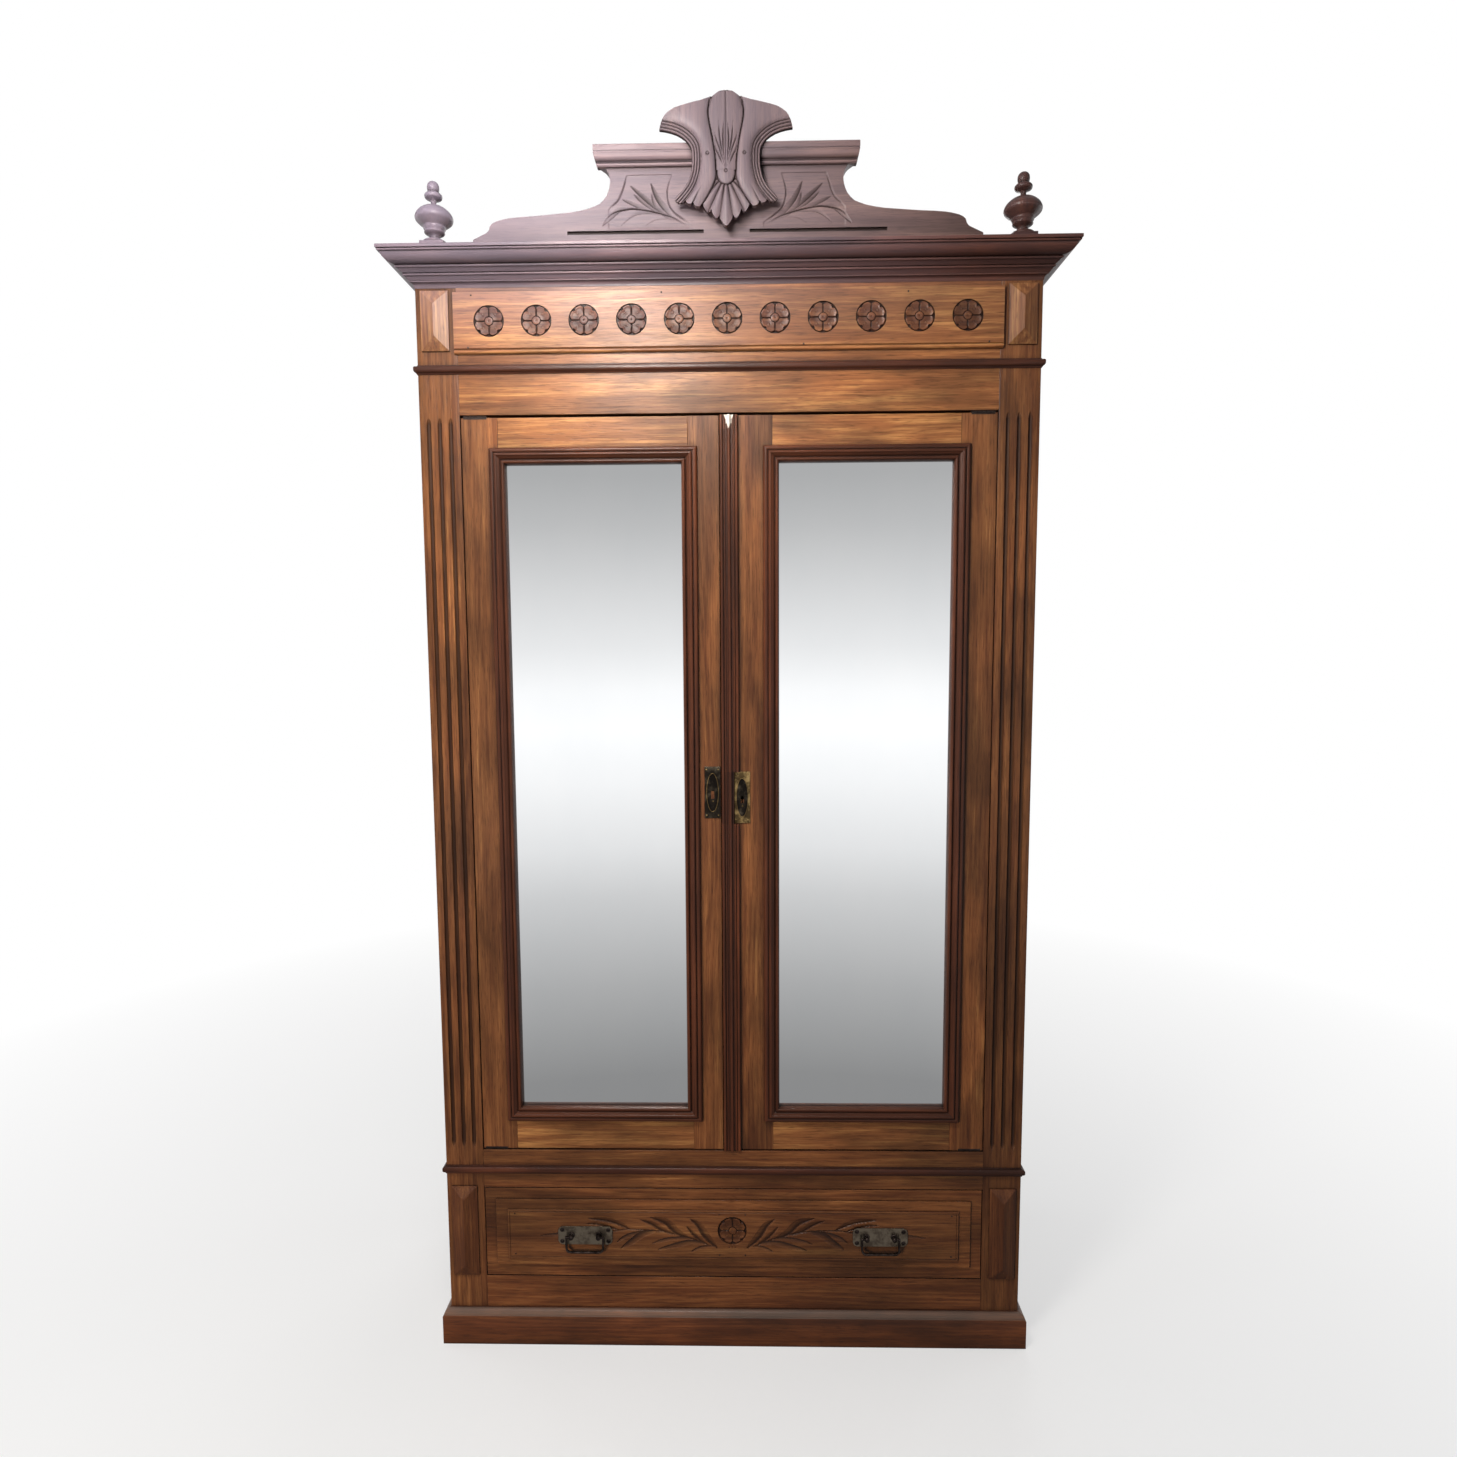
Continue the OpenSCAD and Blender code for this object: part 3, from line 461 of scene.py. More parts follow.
def tube(shape, path, radius, sides=14, closed=False, flat=None, **finish):
    """A round or oval bar along a path in a plane across Y; flat scales it along Y at each point."""
    path = np.array(path, float)
    n = len(path)
    verts = []
    for i, p in enumerate(path):
        ahead = path[(i + 1) % n] if closed or i + 1 < n else p
        behind = path[i - 1] if closed or i else p
        along = (ahead - behind) / np.linalg.norm(ahead - behind)
        side = np.cross(along, (0, 1, 0))
        depth = 1.0 if flat is None else flat[i]
        for k in range(sides):
            a = 2 * math.pi * k / sides
            verts.append(p + radius * (math.cos(a) * side + math.sin(a) * depth * np.array((0, 1, 0))))
    faces = bands(sides, n, closed)
    if not closed:
        faces += [list(range(sides)), list(range((n - 1) * sides, n * sides))]
    shape.add(verts, faces, **finish)


def arc(cx, cy, r, a, b, n=8):
    """Points of an arc from angle a to b, in degrees."""
    return [(cx + r * math.cos(math.radians(a + (b - a) * i / n)),
             cy + r * math.sin(math.radians(a + (b - a) * i / n))) for i in range(n + 1)]


def smooth(points, steps=4):
    """A rounder line through the same points (Catmull-Rom)."""
    p = [points[0], *points, points[-1]]
    line = []
    for i in range(1, len(p) - 2):
        a, b, c, d = (np.array(q, float) for q in p[i - 1:i + 3])
        for k in range(steps):
            t = k / steps
            line.append(tuple(0.5 * (2 * b + (c - a) * t + (2 * a - 5 * b + 4 * c - d) * t * t
                                     + (3 * b - a - 3 * c + d) * t ** 3)))
    return line + [tuple(points[-1])]


# ---------------------------------------------------------------- carving

def near_line(x, z, line):
    """Distance of each point to a polyline, the share of its length there, and the side it is on."""
    line = np.array(line, float)
    lengths = np.linalg.norm(np.diff(line, axis=0), axis=1)
    total, run = lengths.sum(), 0.0
    best = np.full(np.shape(x), 1e9)
    share, side = np.zeros(np.shape(x)), np.ones(np.shape(x))
    for (ax, az), (bx, bz), length in zip(line[:-1], line[1:], lengths):
        dx, dz = (bx - ax) / length, (bz - az) / length
        t = np.clip((x - ax) * dx + (z - az) * dz, 0, length)
        gap = np.hypot(x - ax - t * dx, z - az - t * dz)
        closer = gap < best
        best = np.where(closer, gap, best)
        share = np.where(closer, (run + t) / total, share)
        side = np.where(closer, np.sign(dx * (z - az) - dz * (x - ax)), side)
        run += length
    return best, share, side


def inside(x, z, outline):
    """Which points lie inside a closed outline."""
    hit = np.zeros(np.shape(x), bool)
    for (ax, az), (bx, bz) in zip(outline, outline[1:] + outline[:1]):
        if az != bz:
            crosses = (az > z) != (bz > z)
            hit ^= crosses & (x < (bx - ax) * (z - az) / (bz - az) + ax)
    return hit


def ease(value, low, high):
    """0 below low, 1 above high, smooth between."""
    t = np.clip((value - low) / (high - low), 0, 1)
    return t * t * (3 - 2 * t)


def groove(x, z, line, width, depth, taper=0.35):
    """Depth of a gouge cut along a line, narrowing to both its ends."""
    gap, share, _ = near_line(x, z, smooth(line, 6))
    ends = np.minimum(ease(share, 0, taper), 1 - ease(share, 1 - taper, 1))
    wide = width * (0.25 + 0.75 * ends) / 2
    return depth * (0.3 + 0.7 * ends) * np.clip(1 - gap / wide, 0, 1) ** 0.8


def leaf(x, z, line, width, depth):
    """Depth of a scooped leaf along a line, cut deeper along its upper edge."""
    gap, share, side = near_line(x, z, smooth(line, 6))
    bloom = np.sin(np.pi * np.clip(share, 0.02, 0.98))
    half = width / 2 * bloom ** 0.6
    across = np.clip(side * gap / np.maximum(half, 0.2), -1, 1)
    scoop = np.where(gap < half, 0.35 + 0.65 * (0.5 + 0.5 * across) ** 1.5, 0)
    rim = np.clip(1 - np.abs(gap - half) / 0.9, 0, 1) * (side > 0) * bloom ** 0.4
    return depth * np.maximum(scoop, 1.25 * rim)


def relief(shape, outline, xs, zs, height, face, back, axis="x", tone=0.0, dirt=None, spread=0.2):
    """A carved slab: a grid over the outline whose front stands height(x, z) before the plane y = face."""
    xs, zs = np.array(sorted(set(np.round(xs, 4)))), np.array(sorted(set(np.round(zs, 4))))
    mid_x, mid_z = np.meshgrid((xs[:-1] + xs[1:]) / 2, (zs[:-1] + zs[1:]) / 2)
    cells = inside(mid_x, mid_z, outline)
    x, z = np.meshgrid(xs, zs)
    touched = np.zeros(x.shape, int)
    for dz in (0, 1):
        for dx in (0, 1):
            touched[dz:dz + cells.shape[0], dx:dx + cells.shape[1]] += cells
    edge = (touched > 0) & (touched < 4)
    ring = np.array(outline + outline[:1], float)
    ex, ez = x[edge], z[edge]
    best, px, pz = np.full(len(ex), 1e9), ex.copy(), ez.copy()
    for (ax, az), (bx, bz) in zip(ring[:-1], ring[1:]):
        d2 = (bx - ax) ** 2 + (bz - az) ** 2
        if d2 < 1e-12:
            continue
        t = np.clip(((ex - ax) * (bx - ax) + (ez - az) * (bz - az)) / d2, 0, 1)
        qx, qz = ax + t * (bx - ax), az + t * (bz - az)
        gap = np.hypot(ex - qx, ez - qz)
        closer = gap < best
        best, px, pz = np.where(closer, gap, best), np.where(closer, qx, px), np.where(closer, qz, pz)
    x, z = x.copy(), z.copy()
    x[edge], z[edge] = px, pz
    high = height(x, z)
    # Painted shade at each grid point, darker in the carved cuts
    stain_and_painted_shade = np.zeros(x.shape) if dirt is None else dirt(x, z)
    number = np.full(x.shape, -1)
    used = touched > 0
    number[used] = np.arange(used.sum())
    verts = np.stack([x[used], face - high[used], z[used]], axis=1)
    corner = [number[:-1, :-1], number[:-1, 1:], number[1:, 1:], number[1:, :-1]]
    quads = np.stack([c[cells] for c in corner], axis=1)
    seen = {}
    for quad in quads.tolist():
        for a, b in zip(quad, quad[1:] + quad[:1]):
            if (b, a) in seen:
                del seen[(b, a)]
            else:
                seen[(a, b)] = True
    rim = sorted({v for pair in seen for v in pair})
    base = len(verts)
    below = {v: base + i for i, v in enumerate(rim)}
    lower = verts[rim].copy()
    lower[:, 1] = back
    walls = [(b, a, below[a], below[b]) for a, b in seen]
    flat = [(px, back, pz) for px, pz in outline]
    plate = list(range(base + len(rim), base + len(rim) + len(flat)))
    painted_shades = np.concatenate([stain_and_painted_shade[used], stain_and_painted_shade[used][rim], np.zeros(len(flat))])
    shape.add(np.concatenate([verts, lower, flat]), quads.tolist() + walls + [plate],
              axis=axis, tone=tone, dirt=painted_shades, spread=spread)


def lines(*parts):
    """Grid lines from (start, end, step) parts."""
    counts = [max(2, int(round((b - a) / step)) + 1) for a, b, step in parts]
    return np.concatenate([np.linspace(a, b, count) for (a, b, _), count in zip(parts, counts)])


def mirrored(half):
    """A closed outline from its right half, listed from the bottom centre up."""
    return [tuple(p) for p in half] + [(-x, z) for x, z in reversed(half) if x > 0]


# ---------------------------------------------------------------- carcass

FLUTES = [-20.5, 0.0, 20.5]
FLUTE_HALF, FLUTE_TIP = 4.2, 12.0
FLUTE_LOW, FLUTE_HIGH = DOOR_LOW + 3, DOOR_HIGH
FLUTE_GRID = (-1, -0.94, -0.8, -0.55, -0.25, 0, 0.25, 0.55, 0.8, 0.94, 1)


def fluted_post(node, side):
    """A post whose front has three round flutes that run out to points."""
    lo, hi = span(node)
    centre = (lo[0] + hi[0]) / 2

    def height(x, z):
        ends = np.minimum(z - FLUTE_LOW, FLUTE_HIGH - z)
        half = FLUTE_HALF * np.clip(ends / FLUTE_TIP, 0, 1) ** 0.7
        depth = np.zeros(x.shape)
        for offset in FLUTES:
            across = np.abs(x - centre - offset)
            depth = np.maximum(depth, np.sqrt(np.maximum(half ** 2 - across ** 2, 0)))
        soft = np.minimum(np.minimum(x - lo[0], hi[0] - x), 1.2)
        return -depth - 0.35 * (1.2 - soft) ** 2

    def shade(x, z):
        return np.clip(-1.1 * height(x, z) / FLUTE_HALF - 0.15, 0, 0.8)

    across = [f + FLUTE_HALF * s for f in FLUTES for s in FLUTE_GRID]
    xs = [centre + a for a in across] + [lo[0], lo[0] + 0.5, lo[0] + 1.2, hi[0] - 1.2, hi[0] - 0.5, hi[0]]
    low_tip, high_tip = FLUTE_LOW + FLUTE_TIP, FLUTE_HIGH - FLUTE_TIP
    zs = lines((lo[2], FLUTE_LOW, 60), (FLUTE_LOW, low_tip, 1.2), (low_tip, high_tip, 60),
               (high_tip, FLUTE_HIGH, 1.2), (FLUTE_HIGH, hi[2], 60))
    outline = [(lo[0], lo[2]), (hi[0], lo[2]), (hi[0], hi[2]), (lo[0], hi[2])]
    shape = Shape()
    relief(shape, outline, xs, zs, height, lo[1], hi[1], axis="z", dirt=shade)
    shape.build(f"{side}_fluted_post", node, "walnut")


def wrapped(name, node, profile, material="dark_walnut", wear_and_sheen=lambda height: 0.0):
    """A moulding round the front and sides, mitred, from a (distance out, height) profile."""
    shape = Shape()
    # Lightening per profile point, where given: scuffs and painted sheen
    dirt = [wear_and_sheen(p[1]) for p in profile] * 2
    up = (0, 0, 1)
    sweep(shape, profile, (-HALF, FRONT, 0), (HALF, FRONT, 0), (0, -1, 0), up, (1, 1), dirt=dirt)
    for s in (-1, 1):
        start, end = (s * HALF, FRONT, 0), (s * HALF, BACK, 0)
        sweep(shape, profile, start, end, (s, 0, 0), up, (1, 0), axis="y", dirt=dirt)
    shape.build(name, node, material)


def cornice():
    low, high = span("cornice")[0][2], span("cornice")[1][2]
    reach = FRONT - span("cornice")[0][1]
    profile = ([(-3, low), (0.6, low), (1, low + 3)] + arc(8, low + 2, 7, 172, 95)
               + [(8.0, low + 11.3), (8.6, low + 11.3), (13.5, low + 17.3)]
               + arc(14.5, low + 19.5, 2.2, -75, 95) + [(15.2, low + 22), (17, low + 22.2), (23, low + 28)]
               + arc(24.5, low + 30.5, 2.4, -75, 100) + [(25.2, low + 33)]
               + arc(26, low + 54, 21, -88, -12, 14) + [(46.8, low + 48.6)]
               + arc(48.3, low + 50.5, 1.9, -75, 80) + [(49.6, low + 52.6), (reach - 0.8, low + 52.6)]
               + [(reach, low + 53.4), (reach, high - 1), (reach - 1, high), (-3, high)])
    wrapped("cornice_moulding", "cornice", profile)


def plinth():
    high = span("plinth")[1][2]
    reach = FRONT - span("plinth")[0][1]
    profile = ([(-3, 0), (reach - 0.5, 0), (reach, 0.5), (reach, high - 14), (reach - 0.7, high - 12.6)]
               + [(reach - 2.4, high - 11.2)] + arc(reach - 12.5, high - 11, 10.2, 5, 80, 8)
               + [(1.2, high - 0.6), (1.0, high), (-3, high)])
    # The top slope is lightened: partly scuffs, partly a painted sheen where light catches it
    wrapped("plinth_moulding", "plinth", profile, "walnut_deep",
            wear_and_sheen=lambda height: -0.12 if high - 12 < height < high - 0.8 else 0.0)


def bead_moulding(node):
    lo, hi = span(node)
    low, h, reach = lo[2], hi[2] - lo[2], FRONT - lo[1]
    profile = ([(-3, low), (1.2, low)] + arc(1.2, low + h * 0.47, reach - 1.2, -75, 0, 8)
               + arc(reach - h * 0.2, low + h * 0.67, h * 0.2, 0, 95, 8)
               + [(1.6, low + h * 0.89), (0.9, low + h * 0.91), (0.8, low + h), (-3, low + h)])
    wrapped(f"{node}_finished", node, profile)


def frieze_board():
    """The raised board behind the roundels: recesses as in the CAD solid. The nails along its edge are made
    with the other carcass nails.
    """
    shape = Shape()
    for verts, faces in solids("frieze_board"):
        shape.add(verts, faces, axis="x", tone=0.5, spread=0)
    shape.build("frieze_board_finished", "frieze_board", "frieze", bevel=0.4)


ROSETTES = 11


def rosette_height(r, a):
    """Height and painted shade of a roundel of radius 28: four dished, notched petals round a button."""
    a = (np.degrees(a) + 360) % 90 - 45
    cross = r * np.sin(np.radians(45 - np.abs(a)))
    rim = 26.6 - 4.0 * ease(np.abs(a), 30, 45) - 3.4 * np.exp(-(a / 5.5) ** 2)
    petal = 1 - ease(r, rim - 0.5, rim + 0.6)
    split = ease(cross, 0.5, 1.7)
    dish = 2.3 + 1.1 * ease(r, rim - 5.5, rim - 1.4) - 0.7 * np.exp(-((r - 15) / 5.0) ** 2)
    dot = np.exp(-(((r - 16.5) ** 2 + (r * np.radians(a)) ** 2) / 2.2))
    ring = np.exp(-((np.sqrt((r - 16.5) ** 2 + (r * np.radians(a)) ** 2) - 2.6) / 0.6) ** 2)
    high = 0.5 + petal * split * (dish + 0.5 * dot - 0.45 * ring)
    button = 4.3 - 0.012 * r ** 2 - 2.2 * np.exp(-(r / 1.1) ** 4) - 0.5 * np.exp(-((r - 2.6) / 0.5) ** 2)
    collar = ease(r, 6.9, 7.5)
    lift = ease(r, 7.5, 9.0)
    high = button * (1 - collar) + high * collar * lift + 0.7 * collar * (1 - lift)
    # Painted shade, darker where the roundel is lower
    return high, np.clip(1.35 - high / 2.2, 0, 1)


def roundel(shape, x, z, face, radius, scale=1.0, tone=0.2):
    """One carved roundel on a grid of rings and spokes."""
    rings = np.concatenate([np.linspace(0.01, 7, 7), np.linspace(7.3, 28, 26)]) * radius / 28
    turns = 96
    angle = 2 * np.pi * np.arange(turns) / turns
    r, a = np.meshgrid(rings, angle)
    high, dirt = rosette_height(r * 28 / radius, a)
    verts = np.stack([x + r * np.cos(a), face - high * scale, z + r * np.sin(a)], axis=2).reshape(-1, 3)
    shape.add(verts, spun(len(rings), turns), tone=tone, dirt=dirt.ravel(), spread=0.25)


def frieze_rosettes():
    lo, hi = span("frieze_rosettes")
    radius = (hi[2] - lo[2]) / 2
    shape = Shape()
    for x in np.linspace(lo[0] + radius, hi[0] - radius, ROSETTES):
        roundel(shape, x, (lo[2] + hi[2]) / 2, hi[1] - 0.3, radius, 0.98, tone=-0.5)
    shape.build("frieze_roundels", "frieze_rosettes", "frieze")


BLOCK_NAILS = [(1966, -16), (2057, 16), (152, -16), (320, -16)]
FRIEZE_NAILS = [(-478, 1962), (478, 1962), (-470, 2055), (330, 2052), (-120, 2056), (140, 1962)]


def nails():
    """Domed nail heads on the corner blocks and the frieze."""
    shape = Shape()
    dome = [(0, 1.1), (0.9, 1.0), (1.6, 0.6), (1.9, 0), (1.9, -0.6)]
    for s in (-1, 1):
        for z, shift in BLOCK_NAILS:
            lathe(shape, dome, (s * (HALF - 35.2 + shift), FRONT - 4.2, z), "y", 12)
    for x, z in FRIEZE_NAILS:
        lathe(shape, dome, (x, span("frieze_board")[0][1] + 0.4, z), "y", 12)
    shape.build("carcass_nails", "corner_blocks", "iron", replaces=False)


# ---------------------------------------------------------------- crest

CREST_HALF = [
    (0, 0), (466, 0), (466, 21), (458, 24.5), (440, 33), (436, 38), (434, 45), (429, 49.5), (421, 53),
    (409, 56), (397, 58), (375, 59.8), (351, 61), (320, 63.4), (288, 66), (270, 68.6), (254, 72),
    (243, 75.6), (232, 80), (225, 86.4), (219, 94), (215.4, 102), (213, 110), (212, 117), (212, 123),
    (213, 129), (215, 134), (218.4, 140), (223, 145), (232, 151), (232, 175), (56, 175), (56, 232),
    (0, 232)]
SPRAY = [([(-74, 43), (-100, 56), (-140, 67), (-176, 71), (-208, 64), (-226, 44)], 3.2, 3.0)]
SPRAY_LEAVES = [
    ([(-82, 46), (-104, 64), (-124, 88), (-137, 114)], 9.0, 2.0),
    ([(-90, 50), (-112, 60), (-130, 78), (-136, 96)], 6.5, 1.7),
    ([(-100, 56), (-128, 74), (-156, 96), (-174, 111)], 8.0, 2.0),
    ([(-112, 61), (-138, 74), (-156, 86), (-168, 96)], 6.0, 1.7),
    ([(-134, 66), (-156, 74), (-175, 82), (-189, 88)], 6.5, 1.7),
    ([(-176, 71), (-196, 70), (-212, 58), (-226, 43)], 8.5, 2.0),
    ([(-118, 62), (-146, 66), (-172, 62), (-193, 43)], 7.5, 1.8),
    ([(-92, 52), (-112, 56), (-132, 54), (-149, 42)], 6.5, 1.7)]
PANEL_EDGES = [
    [(-181, 130), (-186, 112), (-196, 88), (-214, 72)],
    [(-99, 130), (-106, 112), (-108, 90), (-98, 66), (-67, 44)]]


def crest_height(x, z):
    """Carving of the crest board: slots, leaf sprays and the sunk field behind them."""
    up = z - TOP
    left = -np.abs(x)
    cut = np.zeros(x.shape)
    near = (np.abs(x) > 58) & (np.abs(x) < 240) & (up > 36) & (up < 140)
    lx, lz = left[near], up[near]
    deep = np.zeros(lx.shape)
    s_out = np.interp(lz, [70, 88, 112, 130], [-216, -198, -187, -181])
    s_in = np.interp(lz, [44, 66, 90, 112, 130], [-67, -98, -108, -106, -99])
    sunk = ease(lx, s_out - 1, s_out + 1.5) * (1 - ease(lx, s_in - 1.5, s_in + 1))
    sunk = sunk * (1 - ease(lz, 128.6, 130.2))
    deep += 1.3 * sunk * ease(lz, 46, 90)
    for line in PANEL_EDGES:
        deep = np.maximum(deep, groove(lx, lz, line, 3.4, 2.6, 0.2))
    for line, width, depth in SPRAY:
        deep = np.maximum(deep, groove(lx, lz, line, width, depth, 0.25) + 1.0 * sunk)
    for line, width, depth in SPRAY_LEAVES:
        deep = np.maximum(deep, leaf(lx, lz, line, width, depth) + 1.3 * sunk * ease(lz, 46, 90))
    cut[near] = deep
    slot = (np.abs(x) > 41.9) & (np.abs(x) < 292.1) & (up > 26.9) & (up < 33.1)
    cut = np.where(slot, 5.0, cut)
    return -cut


# Painted shade in the crest's carved cuts, darker where they are deeper
def crest_painted_shade(x, z):
    return np.clip(-crest_height(x, z) / 1.8 - 0.72, 0, 0.95)


def crest_board():
    lo, hi = span("crest_board")
    outline = [(x, TOP + z) for x, z in mirrored(CREST_HALF)]
    half = lines((0, 42, 3), (42, 60, 1.5), (60, 238, 1.15), (238, 292, 3), (292, 466, 3))
    xs = np.concatenate([half, -half, [41.9, 42.1, 291.9, 292.1, -41.9, -42.1, -291.9, -292.1]])
    rows = lines((0, 26.8, 2.6), (33.2, 42, 2), (42, 153, 1.15), (153, 175, 3), (175, 232, 6))
    zs = TOP + np.concatenate([rows, [26.8, 27.0, 30.0, 33.0, 33.2]])
    shape = Shape()
    relief(shape, outline, xs, zs, crest_height, lo[1], hi[1], dirt=crest_painted_shade, tone=0.1)
    shape.build("crest_carved_board", "crest_board", "crest")


def crest_cap():
    lo, hi = span("crest_cap")
    low, h, reach = lo[2], hi[2] - lo[2], hi[1] - lo[1]
    board = 232.0
    profile = ([(-2, low), (4.6, low), (5, low + 0.4)] + arc(5, low + 3.2, 2.6, -80, 85)
               + [(5.2, low + 6.2), (6, low + 7)] + arc(7, low + 17, 9, -90, -10, 10)
               + [(reach - 1.6, low + 16.4), (reach - 1.2, low + 17.4)]
               + arc(reach - 2, low + 19.4, 1.7, -60, 60, 6)
               + [(reach - 1, low + 22), (reach - 0.3, low + 22.4), (reach, low + 23.2)]
               + [(reach, low + h - 1.2), (reach - 1.2, low + h), (-2, low + h)])
    side = (hi[0] - board) / reach
    shape = Shape()
    rear = hi[1] + 25
    for s, a, b in ((0, -1, 1), (1, 0, 0), (-1, 0, 0)):
        if s == 0:
            rings = [[(e * (board + p[0] * side), hi[1] - p[0], p[1]) for p in profile] for e in (a, b)]
        else:
            rings = [[(s * (board + p[0] * side), y or hi[1] - p[0], max(p[1], low + 9)) for p in profile]
                     for y in (None, rear)]
        shape.add(rings, prism(len(profile), 2), axis="y" if s else "x", tone=-0.2)
    shape.build("crest_cap_moulding", "crest_cap", "crest")


SHELL_HALF = [
    (0, 27), (3, 28.6), (7, 34), (10.5, 40), (12.6, 46.5), (15, 41.6), (18, 40.4), (22, 43.6),
    (25.2, 50), (27, 57), (29.5, 52), (33.4, 51), (38, 56), (41, 62), (43, 66.5), (47.5, 60.6),
    (54, 60.4), (58, 64), (59.5, 69), (63, 64.6), (68, 65), (72.4, 69.4), (73, 72.6), (77, 68.4),
    (86, 68.6), (91, 72), (93, 76), (86.6, 82.6), (79, 90), (72.8, 98), (68, 106), (64.4, 116),
    (62, 127), (61.2, 136), (61, 144), (61.2, 152), (62, 159), (64, 164), (67, 169), (72.6, 175.6),
    (80, 181), (88.4, 185.6), (98, 189), (108, 191.4), (119, 193), (117.4, 199.6), (115, 206),
    (111.6, 211.6), (107, 217), (100, 221.8), (92, 226), (82, 229), (70, 232), (58, 235), (45, 238),
    (33, 242.6), (22, 247), (12, 252.6), (0, 254)]
SHELL_OUTER = [
    (93, 76), (79, 90), (68, 106), (62, 127), (61, 144), (62, 159), (67, 169), (80, 181), (98, 189),
    (119, 193)]
SHELL_INNER = [
    (46, 58), (31, 80), (21, 98), (17, 112), (17.5, 128), (18.5, 144), (21, 162), (25, 184), (29.5, 206),
    (31, 222), (28, 240)]
LEAF_HALF_WIDTHS = [
    (98, 21), (112, 17), (128, 17.5), (144, 18.5), (162, 21), (184, 25), (206, 29.5), (222, 31), (254, 20)]


def shell_height(x, z):
    """Relief of the crest ornament: two grooved scrolls, a veined leaf between them and a fan below."""
    up, side = z - TOP, np.abs(x)
    to_outer = near_line(side, up, smooth(SHELL_OUTER, 3))[0]
    to_inner, _, hand = near_line(side, up, smooth(SHELL_INNER, 3))
    scroll = hand < 0
    share = np.clip((to_outer - 17) / np.maximum(to_outer - 17 + to_inner, 0.5), 0, 1)
    band = 9.6 + 5.2 * np.sqrt(np.clip(1 - (2 * share - 1) ** 2, 0, 1))
    steps = 6.4 + 0.22 * np.minimum(to_outer, 17)
    for at in (4.6, 9.6, 14.4):
        steps = steps - 1.9 * np.clip(1 - np.abs(to_outer - at) / 1.5, 0, 1)
    steps = steps + 0.9 * np.sin(np.clip(to_outer / 4.8, 0, 3.5) * np.pi) ** 2 * 0.7
    arm = np.where(to_outer > 17, band, steps)
    arm = arm - 3.2 * np.clip(1 - to_inner / 2.4, 0, 1)
    pin = np.hypot(side - 33, up - 149)
    arm = arm - 1.8 * np.exp(-((pin - 2.6) / 0.8) ** 2)
    tail = np.clip((84 - up) / 22, 0, 1)
    arm = arm - 3.0 * tail
    for line in ([(60, 66), (50, 84), (38, 104)], [(73, 71), (60, 86), (50, 108)]):
        cut = np.clip(1 - near_line(side, up, line)[0] / 1.6, 0, 1)
        arm = arm - 1.7 * cut * ease(100 - up, 0, 30)
    wide = np.interp(up, *zip(*LEAF_HALF_WIDTHS))
    mid = 10.0 + 4.6 * np.sqrt(np.clip(1 - (side / (wide + 1)) ** 2, 0, 1))
    mid = mid - 1.2 * np.exp(-(side / 1.4) ** 2) * ease(up, 120, 132)
    veins = ([(1.5, 124), (4, 150), (5, 176), (3.5, 205)], [(3, 128), (8, 158), (11.5, 182), (13, 204)],
             [(4, 132), (11, 156), (17, 172), (20.5, 186)], [(6, 130), (13, 146), (18, 156), (20, 166)])
    for vein in veins:
        mid = mid - groove(side, up, vein, 3.0, 2.0, 0.3)
    fan_r = np.hypot(side, 116 - up)
    fan_a = np.degrees(np.arctan2(side, np.maximum(116 - up, 0.1)))
    flute = np.abs(np.cos(np.radians(fan_a) * 10.0)) ** 0.7
    fan = 7.6 + 3.8 * flute * ease(fan_r, 10, 26) - 0.035 * np.maximum(fan_r - 40, 0)
    fan = fan + 0.8 * np.clip(1 - side / 14, 0, 1)
    bulb = np.hypot(side / 15.5, (up - 116) / 19.0)
    bulb_high = 11.6 + 3.6 * np.sqrt(np.clip(1 - bulb ** 2, 0, 1))
    centre = np.where(up > 120, mid, np.where(bulb < 1, np.maximum(bulb_high, 0), fan))
    centre = np.where((up <= 120) & (up > 104) & (bulb >= 1), fan - 1.0, centre)
    dot = np.hypot(side, up - 119)
    centre = centre - 1.6 * np.exp(-((dot - 2.6) / 0.8) ** 2)
    high = np.where(scroll, arm, centre)
    high = high - 1.6 * np.clip(1 - to_outer / 1.2, 0, 1) * (up > 76)
    return np.clip(high, 0.5, 15.9)


# Painted shade in the ornament's hollows, darker where it lies below its neighbours
def shell_painted_shade(x, z):
    high, e = shell_height(x, z), 2.2
    around = sum(shell_height(x + dx * e, z + dz * e) for dx, dz in ((1, 0), (-1, 0), (0, 1), (0, -1))) / 4
    return np.clip((around - high) * 1.1, 0, 0.95)


def crest_shell():
    lo, hi = span("crest_shell")
    outline = [(x, TOP + z) for x, z in mirrored(SHELL_HALF)]
    half = lines((0, 94, 1.0), (94, 119, 1.4))
    xs = np.concatenate([half, -half])
    zs = TOP + lines((27, 130, 1.0), (130, 254, 1.3))
    face = lo[1] + 16
    shape = Shape()
    relief(shape, outline, xs, zs, shell_height, face, face, axis="z", dirt=shell_painted_shade, tone=-0.15)
    box(shape, (-55, face - 0.5, TOP + 75), (55, hi[1], TOP + 142), axis="z")
    shape.build("crest_ornament", "crest_shell", "crest", angle=40)


FINIAL = [
    (21.5, 14), (22, 14.6), (22, 17), (18, 20), (12.4, 21.4), (10, 22), (9.7, 24), (9.8, 27), (12, 30),
    (17, 33), (18.5, 35), (17.6, 37), (20, 42), (20.6, 45), (27, 50), (32.5, 55), (34, 59), (33.4, 63),
    (30, 69), (22, 76), (14, 79.5), (6.5, 81), (5.2, 84), (5.2, 90), (9, 92.5), (14.5, 95), (15.8, 98),
    (15.3, 101), (12, 104), (8.6, 105), (10.3, 109), (10.8, 114), (10, 119), (7, 123), (3, 124.7),
    (0, 125)]


